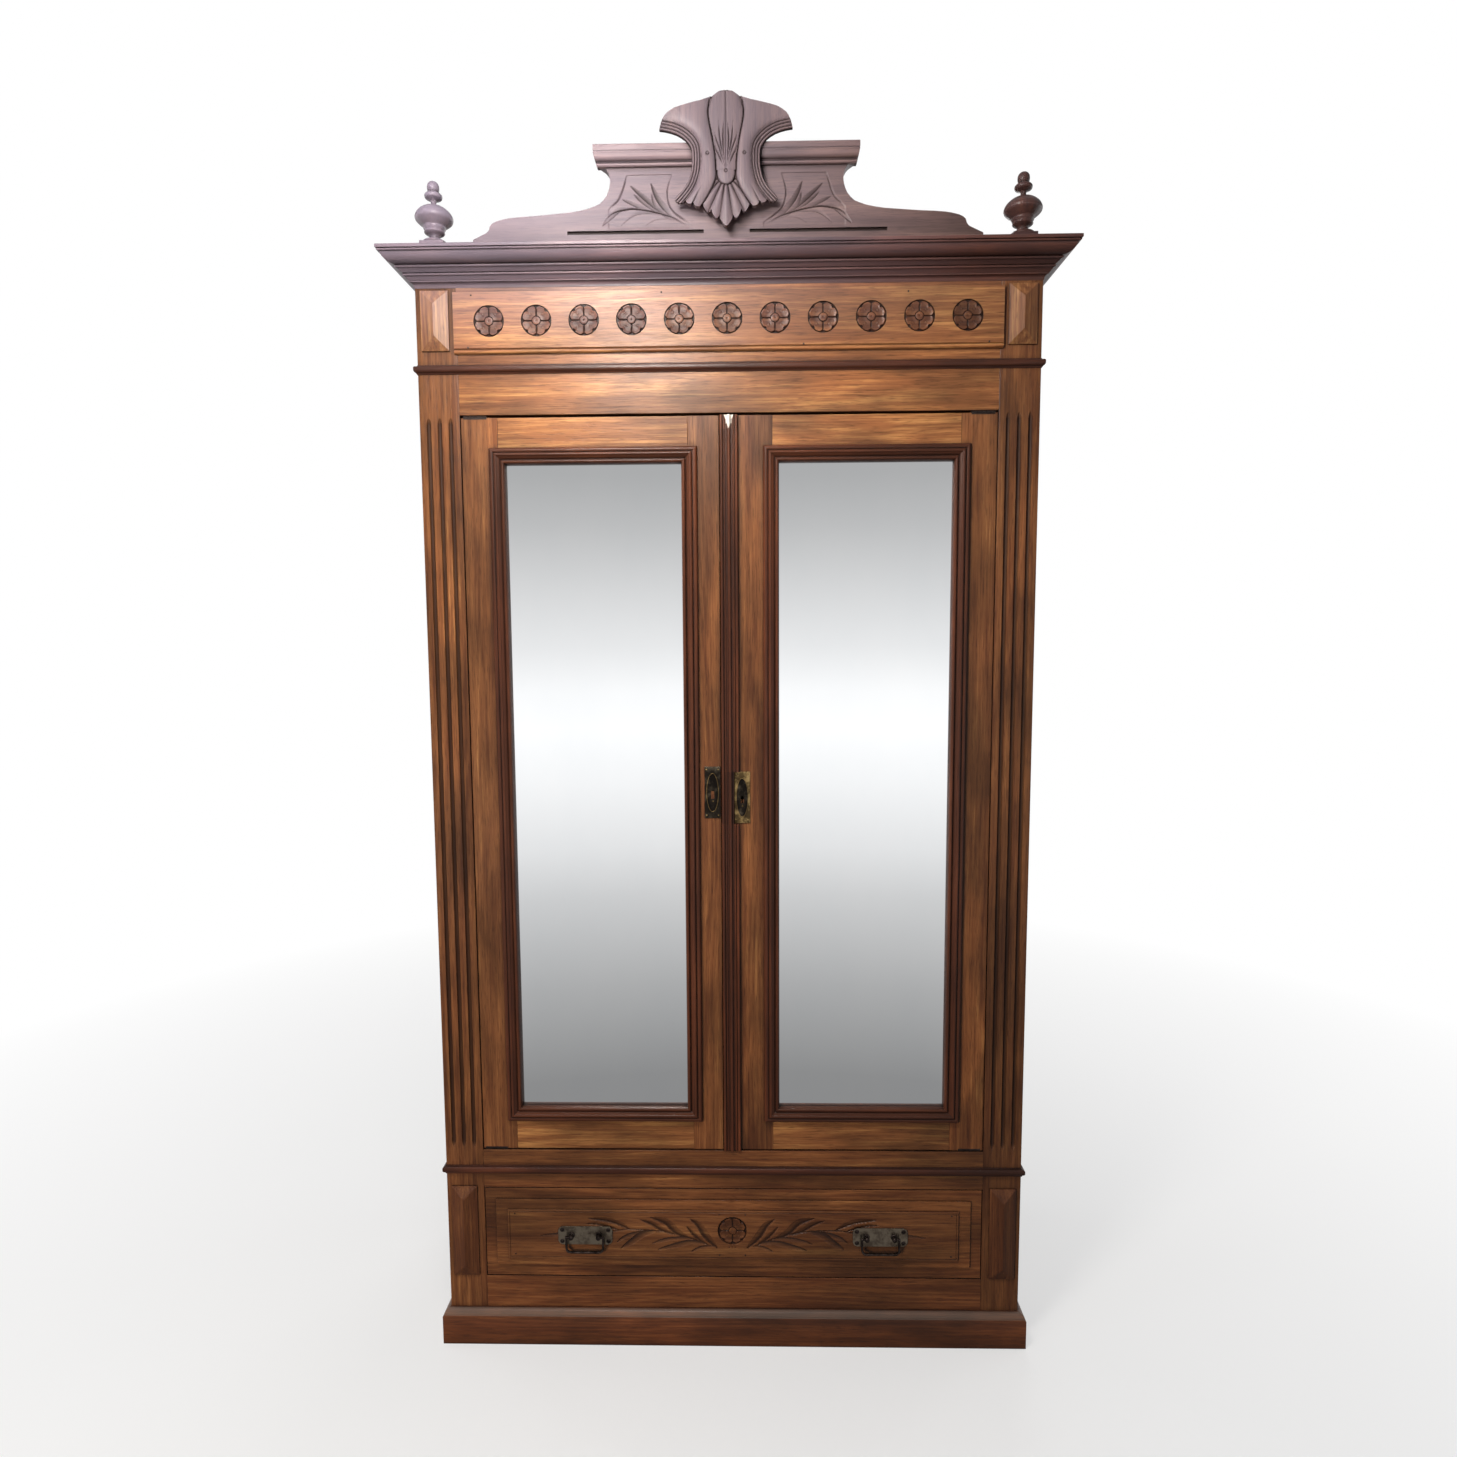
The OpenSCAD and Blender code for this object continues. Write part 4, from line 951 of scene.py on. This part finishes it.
def finial(node):
    lo, hi = span(node)
    centre = ((lo[0] + hi[0]) / 2, (lo[1] + hi[1]) / 2, TOP)
    shape = Shape()
    line = smooth(FINIAL, 4)
    lathe(shape, [(0, 13.5)] + line, centre, "z", 64, axis="z", tone=0.1)
    box(shape, (centre[0] - 22, centre[1] - 22, TOP), (centre[0] + 22, centre[1] + 22, TOP + 14), axis="x")
    shape.build(f"{node}_turned", node, "dark_walnut", bevel=0.7, angle=40)


# ---------------------------------------------------------------- doors

MOULD_W = 30.0
CHIP_LENGTH = 26
CHIP_HALF = 9.0


def door_moulding(node, name):
    """The moulding round a mirror: an outer ogee, a groove, a hollow and an inner bead, mitred."""
    lo, hi = span(node)
    proud = DOOR_FACE - lo[1]
    profile = ([(0, -0.5), (0, 2.2), (0.5, 2.8)] + arc(5.2, 3.2, 4.6, 170, 62)
               + [(8.0, 7.2), (8.4, 5.9), (9.2, 5.8), (9.6, 6.6)] + arc(13.2, proud - 3.4, 3.4, 170, 25)
               + [(17.5, proud - 2.4), (20.2, 5.4), (21.4, 4.6), (21.8, 4.0), (22.4, 4.2)]
               + arc(25.8, 4.6, 3.3, 165, 5)
               + [(29.6, 3.2), (MOULD_W, 2.4), (MOULD_W, -5.4), (17.5, -5.4), (17.5, -0.5)])
    shape = Shape()
    left, right, low, high = lo[0], hi[0], lo[2], hi[2]
    y, up = DOOR_FACE, (0, -1, 0)
    turn = (-1, -1)
    for start, end, out, axis in (((left, y, low), (right, y, low), (0, 0, 1), "x"),
                                  ((left, y, high), (right, y, high), (0, 0, -1), "x"),
                                  ((left, y, low), (left, y, high), (1, 0, 0), "z"),
                                  ((right, y, low), (right, y, high), (-1, 0, 0), "z")):
        sweep(shape, profile, start, end, out, up, turn, axis=axis, tone=0.1, spread=0.3)
    shape.build(name, node, "moulding")


def astragal():
    """The meeting strip: edge beads, grooves and a rib, cut away at the keyhole plate, bare at its top."""
    lo, hi = span("astragal")
    plate = span("right_escutcheon")
    notch_x, notch_z = plate[0][0] - 0.3, (plate[0][2] - 0.3, plate[1][2] + 0.3)
    mid, back = (lo[0] + hi[0]) / 2, hi[1]
    base = back - 4.0
    half = (hi[0] - lo[0]) / 2
    front = [(-half, back)]
    beads = ((-half + 3, 3.0, 1.0), (-half + 8.6, 1.9, 0.8), (0, 3.6, 1.25), (half - 8.6, 1.9, 0.8),
             (half - 3, 3.0, 1.0))
    for offset, radius, flat in beads:
        front += [(offset + radius * math.cos(a), base - 0.6 - radius * flat * math.sin(a))
                  for a in (math.radians(degrees) for degrees in range(180, -1, -20))]
    front += [(half, back)]

    def length(low, high, limit, bare=0.0):
        pts = [(mid + min(x, limit), y) for x, y in front]
        steps = 24 if bare else 1
        rings, dirt = [], []
        for i in range(steps + 1):
            z = low + (high - low) * i / steps
            rings += [(x, y, z) for x, y in pts]
            reach = bare * i / steps
            dirt += [0 if abs(x - mid) > reach else -1.0 for x, _ in pts]
        shape.add(rings, prism(len(pts), steps + 1), axis="z", dirt=dirt, spread=0)

    shape = Shape()
    length(lo[2], notch_z[0], half)
    length(notch_z[0], notch_z[1], notch_x - mid)
    length(notch_z[1], hi[2] - CHIP_LENGTH, half)
    length(hi[2] - CHIP_LENGTH, hi[2], half, bare=CHIP_HALF)
    shape.build("meeting_bead", "astragal", "meeting", angle=40)


def loops(shape, rings, **finish):
    """Bands of faces between closed rings of the same number of points."""
    shape.add(np.concatenate(rings), bands(len(rings[0]), len(rings)), **finish)


def escutcheon(node, name, material, pierced):
    """A plate with a keyhole in a sunk oval, a raised ring round it, and pins."""
    lo, hi = span(node)
    x, z, back = (lo[0] + hi[0]) / 2, (lo[2] + hi[2]) / 2, hi[1]
    half_x, half_z, face = (hi[0] - lo[0]) / 2, (hi[2] - lo[2]) / 2, hi[1] - 1.6
    corner = math.atan2(half_z, half_x)
    corners = [corner, math.pi - corner, math.pi + corner, -corner % (2 * math.pi)]
    turns = sorted([*np.linspace(0, 2 * math.pi, 73)[:-1], *corners])

    def oval(a, b, y, drop=0.0):
        return np.array([(x + a * math.cos(t), y, z + b * math.sin(t) - (drop if t > math.pi else 0))
                         for t in turns])

    def oblong(inset, y):
        reach = [1 / max(abs(math.cos(t)) / (half_x - inset), abs(math.sin(t)) / (half_z - inset))
                 for t in turns]
        return np.array([(x + r * math.cos(t), y, z + r * math.sin(t)) for r, t in zip(reach, turns)])

    body = NODES[node]["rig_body"]
    plate, field, trim = Shape(), Shape(), Shape()
    loops(plate, [oval(10.6, 36.4, back), oval(10.6, 36.4, face - 0.2), oval(12.6, 38.4, face),
                  oblong(0.7, face), oblong(0, face + 0.6), oblong(0, back)], axis="z")
    plate.build(f"{name}_sheet", node, material, angle=40)
    loops(field, [oval(3.2, 3.2, back, 9), oval(3.2, 3.2, face + 0.3, 9), oval(3.8, 3.8, face, 9),
                  oval(10.6, 36.4, face + 0.2)], axis="z")
    field.build(f"{name}_oval", node, "bronze", slot=material, replaces=False, body=body, angle=40)
    tube(trim, oval(11.4, 37.2, face - 0.3), 0.8, 10, closed=True, axis="z")
    pin = [(0, 1.0), (0.8, 0.9), (1.4, 0.6), (1.7, 0), (1.7, -0.4)]
    for sx, sz in ((-1, -1), (1, -1), (1, 1), (-1, 1)):
        lathe(trim, pin, (x + 11.2 * sx, face, z + 44.5 * sz), "y", 16)
    lathe(trim, pin, (x + 0.6, face + 0.2, z - 17), "y", 16)
    trim.build(f"{name}_ring_and_pins", node, "brass", slot=material, replaces=False, body=body, angle=40)
    if not pierced:
        plug = Shape()
        lathe(plug, [(0, 1.0), (3.2, 0.9), (3.4, 0)], (x, face + 0.9, z), "y", 20, axis="z")
        box(plug, (x - 3.1, face, z - 12), (x + 3.1, back, z), axis="z")
        plug.build(f"{name}_blind_keyhole", node, "walnut", replaces=False, body=body)


# ---------------------------------------------------------------- drawer

STEM = [
    (-19, 203), (-36, 207), (-52, 213), (-83, 225), (-119, 235), (-166, 242), (-214, 243), (-250, 238),
    (-349, 232), (-386, 229)]
LEAVES = [
    ([(-30, 205), (-52, 231), (-67, 254), (-84, 266)], 13.0),
    ([(-50, 212), (-66, 224), (-81, 239), (-91, 250)], 7.0),
    ([(-85, 225), (-111, 239), (-132, 260), (-163, 269)], 13.5),
    ([(-115, 233), (-139, 243), (-160, 256), (-184, 264)], 9.0),
    ([(-80, 224), (-110, 225), (-138, 221), (-160, 214)], 6.5),
    ([(-55, 213), (-84, 217), (-114, 210), (-148, 201)], 9.5),
    ([(-42, 209), (-58, 207), (-70, 203), (-82, 197)], 5.0),
    ([(-205, 243), (-230, 257), (-255, 264), (-288, 266)], 9.0),
    ([(-228, 242), (-252, 250), (-272, 255), (-294, 255)], 6.0),
    ([(-155, 240), (-182, 232), (-200, 219), (-223, 203)], 12.0),
    ([(-168, 241), (-196, 234), (-214, 228), (-231, 217)], 7.5),
    ([(-236, 239), (-290, 238), (-340, 233), (-386, 229)], 8.0)]
LEAF_DEPTH = 2.6
FLOWER_Z = 241.8


def drawer_carving(x, z):
    """Depth of the leaf sprays either side of the drawer's flower."""
    cut = np.zeros(x.shape)
    near = (np.abs(x) > 14) & (np.abs(x) < 390) & (z > 190) & (z < 275)
    lx, lz = -np.abs(x[near]), z[near]
    deep = groove(lx, lz, STEM, 3.4, 2.4, 0.18)
    for line, width in LEAVES:
        pts = line[::-1] if line[-1][1] < line[0][1] else line
        deep = np.maximum(deep, leaf(lx, lz, pts, width, LEAF_DEPTH))
    cut[near] = deep
    for gx in (-7, 0, 7):
        cut = np.maximum(cut, groove(x, z, [(gx * 0.7, 210), (gx, 203)], 3.0, 1.2, 0.4))
    return cut


def drawer_front():
    """The drawer's face: a border, two raised tiers with rounded steps, and the carved field."""
    lo, hi = span("drawer_front")
    shape = Shape()
    tier = (FRONT - lo[1]) / 2
    field = (452.5, 180.0, 284.0)
    middle = (476.5, 164.5, 304.5)

    def flower_hole(x, z):
        return np.clip(29.2 - np.hypot(x, z - FLOWER_Z), 0, 1)

    def inward(x, z):
        return np.minimum(np.minimum(field[0] - np.abs(x), z - field[1]), field[2] - z)

    def height(x, z):
        edge = inward(x, z)
        step = -0.9 * np.clip(1 - edge / 1.4, 0, 1) ** 2 - 0.9 * np.clip(1 - np.abs(edge - 4.2) / 0.9, 0, 1)
        return step - drawer_carving(x, z) - 3.4 * flower_hole(x, z)

    def shade(x, z):
        line = 0.6 * np.clip(1 - np.abs(inward(x, z) - 4.2) / 1.4, 0, 1)
        return np.maximum(line, np.clip(drawer_carving(x, z) / 1.7 - 0.25, 0, 0.9))

    half = lines((0, 300, 1.2), (300, 392, 1.4), (392, 446, 9), (446, 452.5, 0.7))
    zs = lines((180, 187, 0.7), (187, 192, 2), (192, 276, 1.15), (276, 284, 0.7))
    outline = [(-field[0], field[1]), (field[0], field[1]), (field[0], field[2]), (-field[0], field[2])]
    xs = np.concatenate([half, -half])
    relief(shape, outline, xs, zs, height, lo[1], lo[1] + tier, dirt=shade, tone=0.15, spread=0)
    shift = shape.grain[0][0] - shape.verts[0][0] * MM
    shape.build("drawer_carved_field", "drawer_front", "walnut", angle=40)
    border = Shape()
    box(border, (-middle[0], FRONT - tier, middle[1]), (middle[0], FRONT, middle[2]), tone=0.15, spread=0)
    box(border, (lo[0], FRONT, lo[2]), (hi[0], FRONT + 22, hi[2]), tone=-0.1, spread=0)
    border.grain = [part * MM + shift for part in border.verts]
    border.build("drawer_border", "drawer_front", "walnut", replaces=False, bevel=0.8)
    flower = Shape()
    roundel(flower, 0.6, FLOWER_Z, lo[1] + 3.3, 28, 0.85, tone=-0.4)
    pin = [(0, 0.9), (0.8, 0.8), (1.5, 0.4), (1.7, 0), (1.7, -0.4)]
    flower.build("drawer_flower", "drawer_front", "walnut", replaces=False)
    heads = Shape()
    for s in (-1, 1):
        for z in (190, 276):
            for x in (26, 438):
                lathe(heads, pin, (s * x, lo[1] + 0.2, z), "y", 10)
    heads.build("drawer_nails", "drawer_front", "iron", replaces=False)


PULL_WIDTH = 109
PULL_SCREWS = (46.5, 12.0)
PULL_PITCH = 55.0
PULL_Z = 232.0


def pulls():
    """Plates with screws, turned posts, and bails with a broad grip."""
    lo, hi = span("pull_plates")
    centre_x = hi[0] - PULL_WIDTH / 2
    refined("pull_plates", "pewter", axis="x", bevel=0.5, angle=40)
    screws, posts = Shape(), Shape()
    head = [(0, 1.15), (1.2, 1.05), (2.1, 0.6), (2.5, 0), (2.5, -0.4)]
    rim = [(2.3, -0.2), (2.6, 0.5), (3.4, 0.9), (4.4, 0.5), (4.8, -0.3)]
    rear = span("pull_posts")[1][1]
    depth = lo[1] - rear
    pivot_y = span("left_bail")[0][1] + 2.5
    for s in (-1, 1):
        for sx in (-1, 1):
            for sz in (-1, 1):
                at = (s * centre_x + sx * PULL_SCREWS[0], lo[1], (lo[2] + hi[2]) / 2 + sz * PULL_SCREWS[1])
                lathe(screws, head, at, "y", 18, axis="x")
                lathe(screws, rim, at, "y", 18, axis="x")
            x = s * centre_x + sx * PULL_PITCH / 2
            knob = ([(0, pivot_y - lo[1] - 5.4)] + [(5.2 * math.sin(t), pivot_y - lo[1] - 5.2 * math.cos(t))
                                                   for t in np.linspace(0.15, 2.6, 14)])
            collar = [(3.2, 3.4), (3.4, 2.6), (5.6, 2.4), (6.4, 1.6), (6.6, 0.2), (6.6, -0.2)]
            profile = [(r, -h) for r, h in knob] + collar
            lathe(posts, profile, (x, lo[1], PULL_Z), "y", 32, axis="x")
            stem = [(0, depth), (2.6, depth + 0.3), (3, depth + 0.8), (3, 0)]
            lathe(posts, stem, (x, lo[1], PULL_Z), "y", 20, axis="y")
            nut = [(0, -4), (5.4, -4), (6, -3.4), (6, -0.4), (5.4, 0), (0, 0)]
            lathe(posts, nut, (x, rear - 6, PULL_Z), "y", 6, axis="y")
    screws.build("pull_screws", "pull_plates", "iron", slot="bronze", replaces=False, angle=40)
    posts.build("pull_turned_posts", "pull_posts", "iron", angle=40)
    for node in ("left_bail", "right_bail"):
        blo, bhi = span(node)
        x, y, half = (blo[0] + bhi[0]) / 2, pivot_y, (bhi[0] - blo[0]) / 2 - 2.2
        drop, corner = bhi[2] - blo[2] - 4.7, 9.0
        bend = arc(half - corner, -drop + corner, corner, 0, -90, 8)
        right = [(half, 2.0), (half, 0), (half, -drop / 2)] + bend
        path = [(px, pz) for px, pz in right] + [(-px, pz) for px, pz in reversed(right)]
        line = [(x + px, y, PULL_Z + pz) for px, pz in path]
        flat = [1.0 + 0.55 * float(ease(np.array(-pz), drop - 12, drop)) for _, pz in path]
        bail = Shape()
        tube(bail, line, 2.2, 16, flat=flat, axis="x")
        for s in (-1, 1):
            inner, outer = PULL_PITCH / 2 - 4, half + 2.2
            pin = [(0, inner), (2.2, inner), (2.2, half - 1), (3.0, half), (3.0, outer - 1.2),
                   (2.2, outer - 0.1), (0, outer)]
            lathe(bail, [(r, s * h) for r, h in pin], (x, y, PULL_Z), "x", 20, axis="x")
        bail.build(f"{node}_forged", node, "iron", angle=45)


# ---------------------------------------------------------------- interior and hardware

def inside_parts():
    """The hidden woodwork and the hardware: the CAD solids with softened edges, and the lock's screws."""
    for node in ("rear_frame", "back_boards", "floor_board", "shelf", "shelf_cleats", "rail_sockets",
                 "drawer_runners", "door_stops", "left_mirror_backing", "right_mirror_backing", "drawer_box",
                 "drawer_bottom"):
        refined(node, "plain_wood")
    refined("top_board", "plain_wood", axis="x", bevel=1.2)
    # The hinge plates take dark iron, darker than their brass, so that they pass for the shade in the door
    # gaps: painted shade
    for node in ("frame_hinge_plates", "left_hinge_plates", "right_hinge_plates"):
        refined(node, "iron", bevel=0.4, slot="brass", angle=40)
    for node in ("bolt_guides", "top_bolt", "bottom_bolt", "lock_case", "lock_bolt", "lock_keeper",
                 "hanging_rail"):
        refined(node, "brass", bevel=0.4, angle=40)
    screws = Shape()
    lo, hi = span("lock_case")
    dome = [(0, 1.2), (1.4, 1.0), (2.4, 0.5), (2.8, 0), (2.8, -0.3)]
    for x in (lo[0] + 6, hi[0] - 6):
        for z in (lo[2] + 6, hi[2] - 6):
            lathe(screws, [(r, -h) for r, h in dome], (x, hi[1], z), "y", 16)
    screws.build("lock_screws", "lock_case", "brass", replaces=False)


def boards():
    """Rails, stiles and panels: the CAD solids with softened edges, in boards of different figure."""
    tones = {"side_rails": 0.0, "side_panels": 0.05, "door_head_rail": 0.35, "waist_rail": 0.0,
             "bottom_rail": -0.1, "left_door_stiles": 0.1, "right_door_stiles": -0.05,
             "left_door_rails": 0.7, "right_door_rails": 0.65}
    for node, tone in tones.items():
        refined(node, "walnut", tone=tone, bevel=0.9, spread=0.25)
    refined("frieze_rail", "frieze", tone=0.3, bevel=0.8, spread=0)
    blocks = Shape()
    for verts, faces in solids("corner_blocks"):
        upper = verts[0][2] > DOOR_HIGH
        blocks.add(verts, faces, axis="z", tone=0.6 if upper else -0.5, spread=0.1)
    blocks.build("corner_blocks_finished", "corner_blocks", "frieze", bevel=0.6, angle=8)


def mirrors():
    for node in ("left_mirror", "right_mirror"):
        refined(node, "mirror", axis="z", bevel=0.3)


# ---------------------------------------------------------------- studio

# Solved from the photograph's perspective: degrees of yaw, pitch and roll, millimetres of lens, and metres
VIEW_TURN = (-1.143, 5.239, -0.332)
VIEW_LENS = 22.238
VIEW_PLACE = (0.0323, -1.9273, 1.4116)


def camera():
    """The photograph's viewpoint: just above the middle of the doors, close and wide."""
    yaw, pitch, roll = (math.radians(a) for a in VIEW_TURN)
    forward = Vector((math.sin(yaw) * math.cos(pitch), math.cos(yaw) * math.cos(pitch), -math.sin(pitch)))
    right = Vector((math.cos(yaw), -math.sin(yaw), 0))
    up = right.cross(forward)
    right, up = (right * math.cos(roll) + up * math.sin(roll), up * math.cos(roll) - right * math.sin(roll))
    data = bpy.data.cameras.new("camera")
    data.lens, data.sensor_width, data.clip_start = VIEW_LENS, 36, 0.01
    made = placed("camera", data)
    rows = zip(right, up, -forward, VIEW_PLACE)
    made.matrix_world = Matrix((*rows, (0, 0, 0, 1)))
    bpy.context.scene.camera = made


def area_light(name, place, target, size, watts, colour=(1, 1, 1), glossy=True):
    data = bpy.data.lights.new(name, "AREA")
    data.energy, data.color, data.shape = watts, colour, "RECTANGLE"
    data.size, data.size_y = size
    made = placed(name, data)
    made.location = place
    made.visible_glossy = glossy
    made.rotation_euler = (Vector(target) - Vector(place)).to_track_quat("-Z", "Y").to_euler()


def seen_by(piece, **kinds):
    for kind in ("camera", "diffuse", "glossy", "transmission", "shadow"):
        setattr(piece, f"visible_{kind}", kinds.get(kind, False))


def glow(name, stops=None):
    """Plain light from a surface, even or graded by its height on a dome of radius 20 m."""
    g = Graph(name)
    colour = (1, 1, 1, 1)
    if stops:
        place = g.place()
        height = g.add("ShaderNodeSeparateXYZ", {0: place}).outputs["Z"]
        colour = g.ramp(g.between(height, -DOME, DOME), stops)
    light = g.add("ShaderNodeEmission", {"Color": colour, "Strength": 1.0})
    return g.surface(light)


DOME = 20.0
FLOOR_SIDES = 64
FLOOR_Z = -0.0006
# Light in the mirrors by angle above the horizon, in degrees
REFLECTED = [
    (-90, 0.16), (-28, 0.28), (-22.5, 0.44), (-16.7, 0.66), (-13.6, 0.83), (-9.1, 1.0), (-5.5, 1.1),
    (-3.0, 1.05), (0, 0.88), (2.7, 0.77), (7.9, 0.55), (11.2, 0.45), (20, 0.36), (45, 0.5), (90, 0.6)]


def dome(name, material, centre, **kinds):
    bm = bmesh.new()
    bmesh.ops.create_uvsphere(bm, u_segments=96, v_segments=64, radius=DOME)
    bmesh.ops.reverse_faces(bm, faces=bm.faces)
    mesh = bpy.data.meshes.new(name)
    bm.to_mesh(mesh)
    bm.free()
    mesh.materials.append(material)
    made = placed(name, mesh)
    made.location = centre
    seen_by(made, **kinds)


def floor():
    """A pale studio floor that fades into the white backdrop."""
    g = Graph("pale_floor")
    place = g.place()
    grit = g.noise(place, (3.0, 3.0, 3.0), 3.0)
    tint = g.mix(grit, (0.80, 0.80, 0.80, 1), (0.84, 0.84, 0.84, 1))
    shader = g.add("ShaderNodeBsdfPrincipled", {"Base Color": tint, "Roughness": 0.7})
    far = g.between(g.vector_length(place), 0.5, 3.0, 0.55, 1.0)
    light = g.add("ShaderNodeEmission", {"Color": (1, 1, 1, 1), "Strength": 1.0})
    mixed = g.add("ShaderNodeMixShader", {0: far, 1: shader.outputs[0], 2: light.outputs[0]})
    mesh = bpy.data.meshes.new("floor")
    side = DOME * 0.98
    turns = np.linspace(0, 2 * math.pi, FLOOR_SIDES + 1)[:-1]
    rim = [(side * math.cos(a), side * math.sin(a), FLOOR_Z) for a in turns]
    mesh.from_pydata(rim, [], [list(range(FLOOR_SIDES))])
    mesh.materials.append(g.surface(mixed))
    made = placed("floor", mesh)
    made.visible_glossy = made.visible_diffuse = False


# Name, place, target, size in metres, watts, colour and whether it shows in reflections. The first four
# imitate the photograph's uneven light.
LIGHTS = [
    ("key", (-0.36, -1.12, 2.50), (-0.16, -0.2, 1.75), (0.35, 0.3), 14, (1.0, 0.96, 0.92)),
    ("door_glow", (-0.22, -0.98, 2.16), (-0.18, -0.2, 1.80), (0.3, 0.1), 8, (1.0, 0.97, 0.90)),
    ("left_fill", (-1.35, -2.1, 0.62), (-0.35, -0.2, 0.2), (0.9, 0.6), 30, (1.0, 0.91, 0.80), False),
    ("cool_top", (-1.3, -0.9, 2.9), (-0.45, -0.1, 2.2), (0.5, 0.5), 4, (0.80, 0.82, 1.0)),
    ("left_side", (-2.6, 0.7, 1.7), (-0.6, 0, 1.2), (1.4, 2.0), 16),
    ("right_side", (2.6, 0.7, 1.7), (0.6, 0, 1.2), (1.4, 2.0), 16),
    ("rear", (0.8, 2.8, 2.4), (0, 0, 1.2), (1.6, 1.6), 30),
]


def studio():
    scene = bpy.context.scene
    scene.view_settings.view_transform = "Standard"
    world = bpy.data.worlds.new("studio")
    world.use_nodes = True
    world.node_tree.nodes["Background"].inputs["Color"].default_value = (0.93, 0.95, 1.0, 1)
    world.node_tree.nodes["Background"].inputs["Strength"].default_value = 0.03
    scene.world = world
    dome("backdrop", glow("white_backdrop"), (0, 0, 0), camera=True)
    stops = [((math.sin(math.radians(a)) + 1) / 2, (v, v, v * 1.01)) for a, v in REFLECTED]
    dome("reflected_studio", glow("studio_gradient", stops), (0, 0, 1.4), glossy=True)
    floor()
    for light in LIGHTS:
        area_light(*light)


# ---------------------------------------------------------------- build

def main():
    boards()
    fluted_post("front_left_post", "left")
    fluted_post("front_right_post", "right")
    plinth()
    bead_moulding("waist_moulding")
    bead_moulding("head_moulding")
    cornice()
    frieze_board()
    frieze_rosettes()
    nails()
    crest_board()
    crest_cap()
    crest_shell()
    finial("left_finial")
    finial("right_finial")
    mirrors()
    door_moulding("left_door_moulding", "left_mirror_moulding")
    door_moulding("right_door_moulding", "right_mirror_moulding")
    astragal()
    escutcheon("left_escutcheon", "left_plate", "bronze", False)
    escutcheon("right_escutcheon", "right_plate", "brass", True)
    drawer_front()
    pulls()
    inside_parts()
    camera()
    studio()


main()
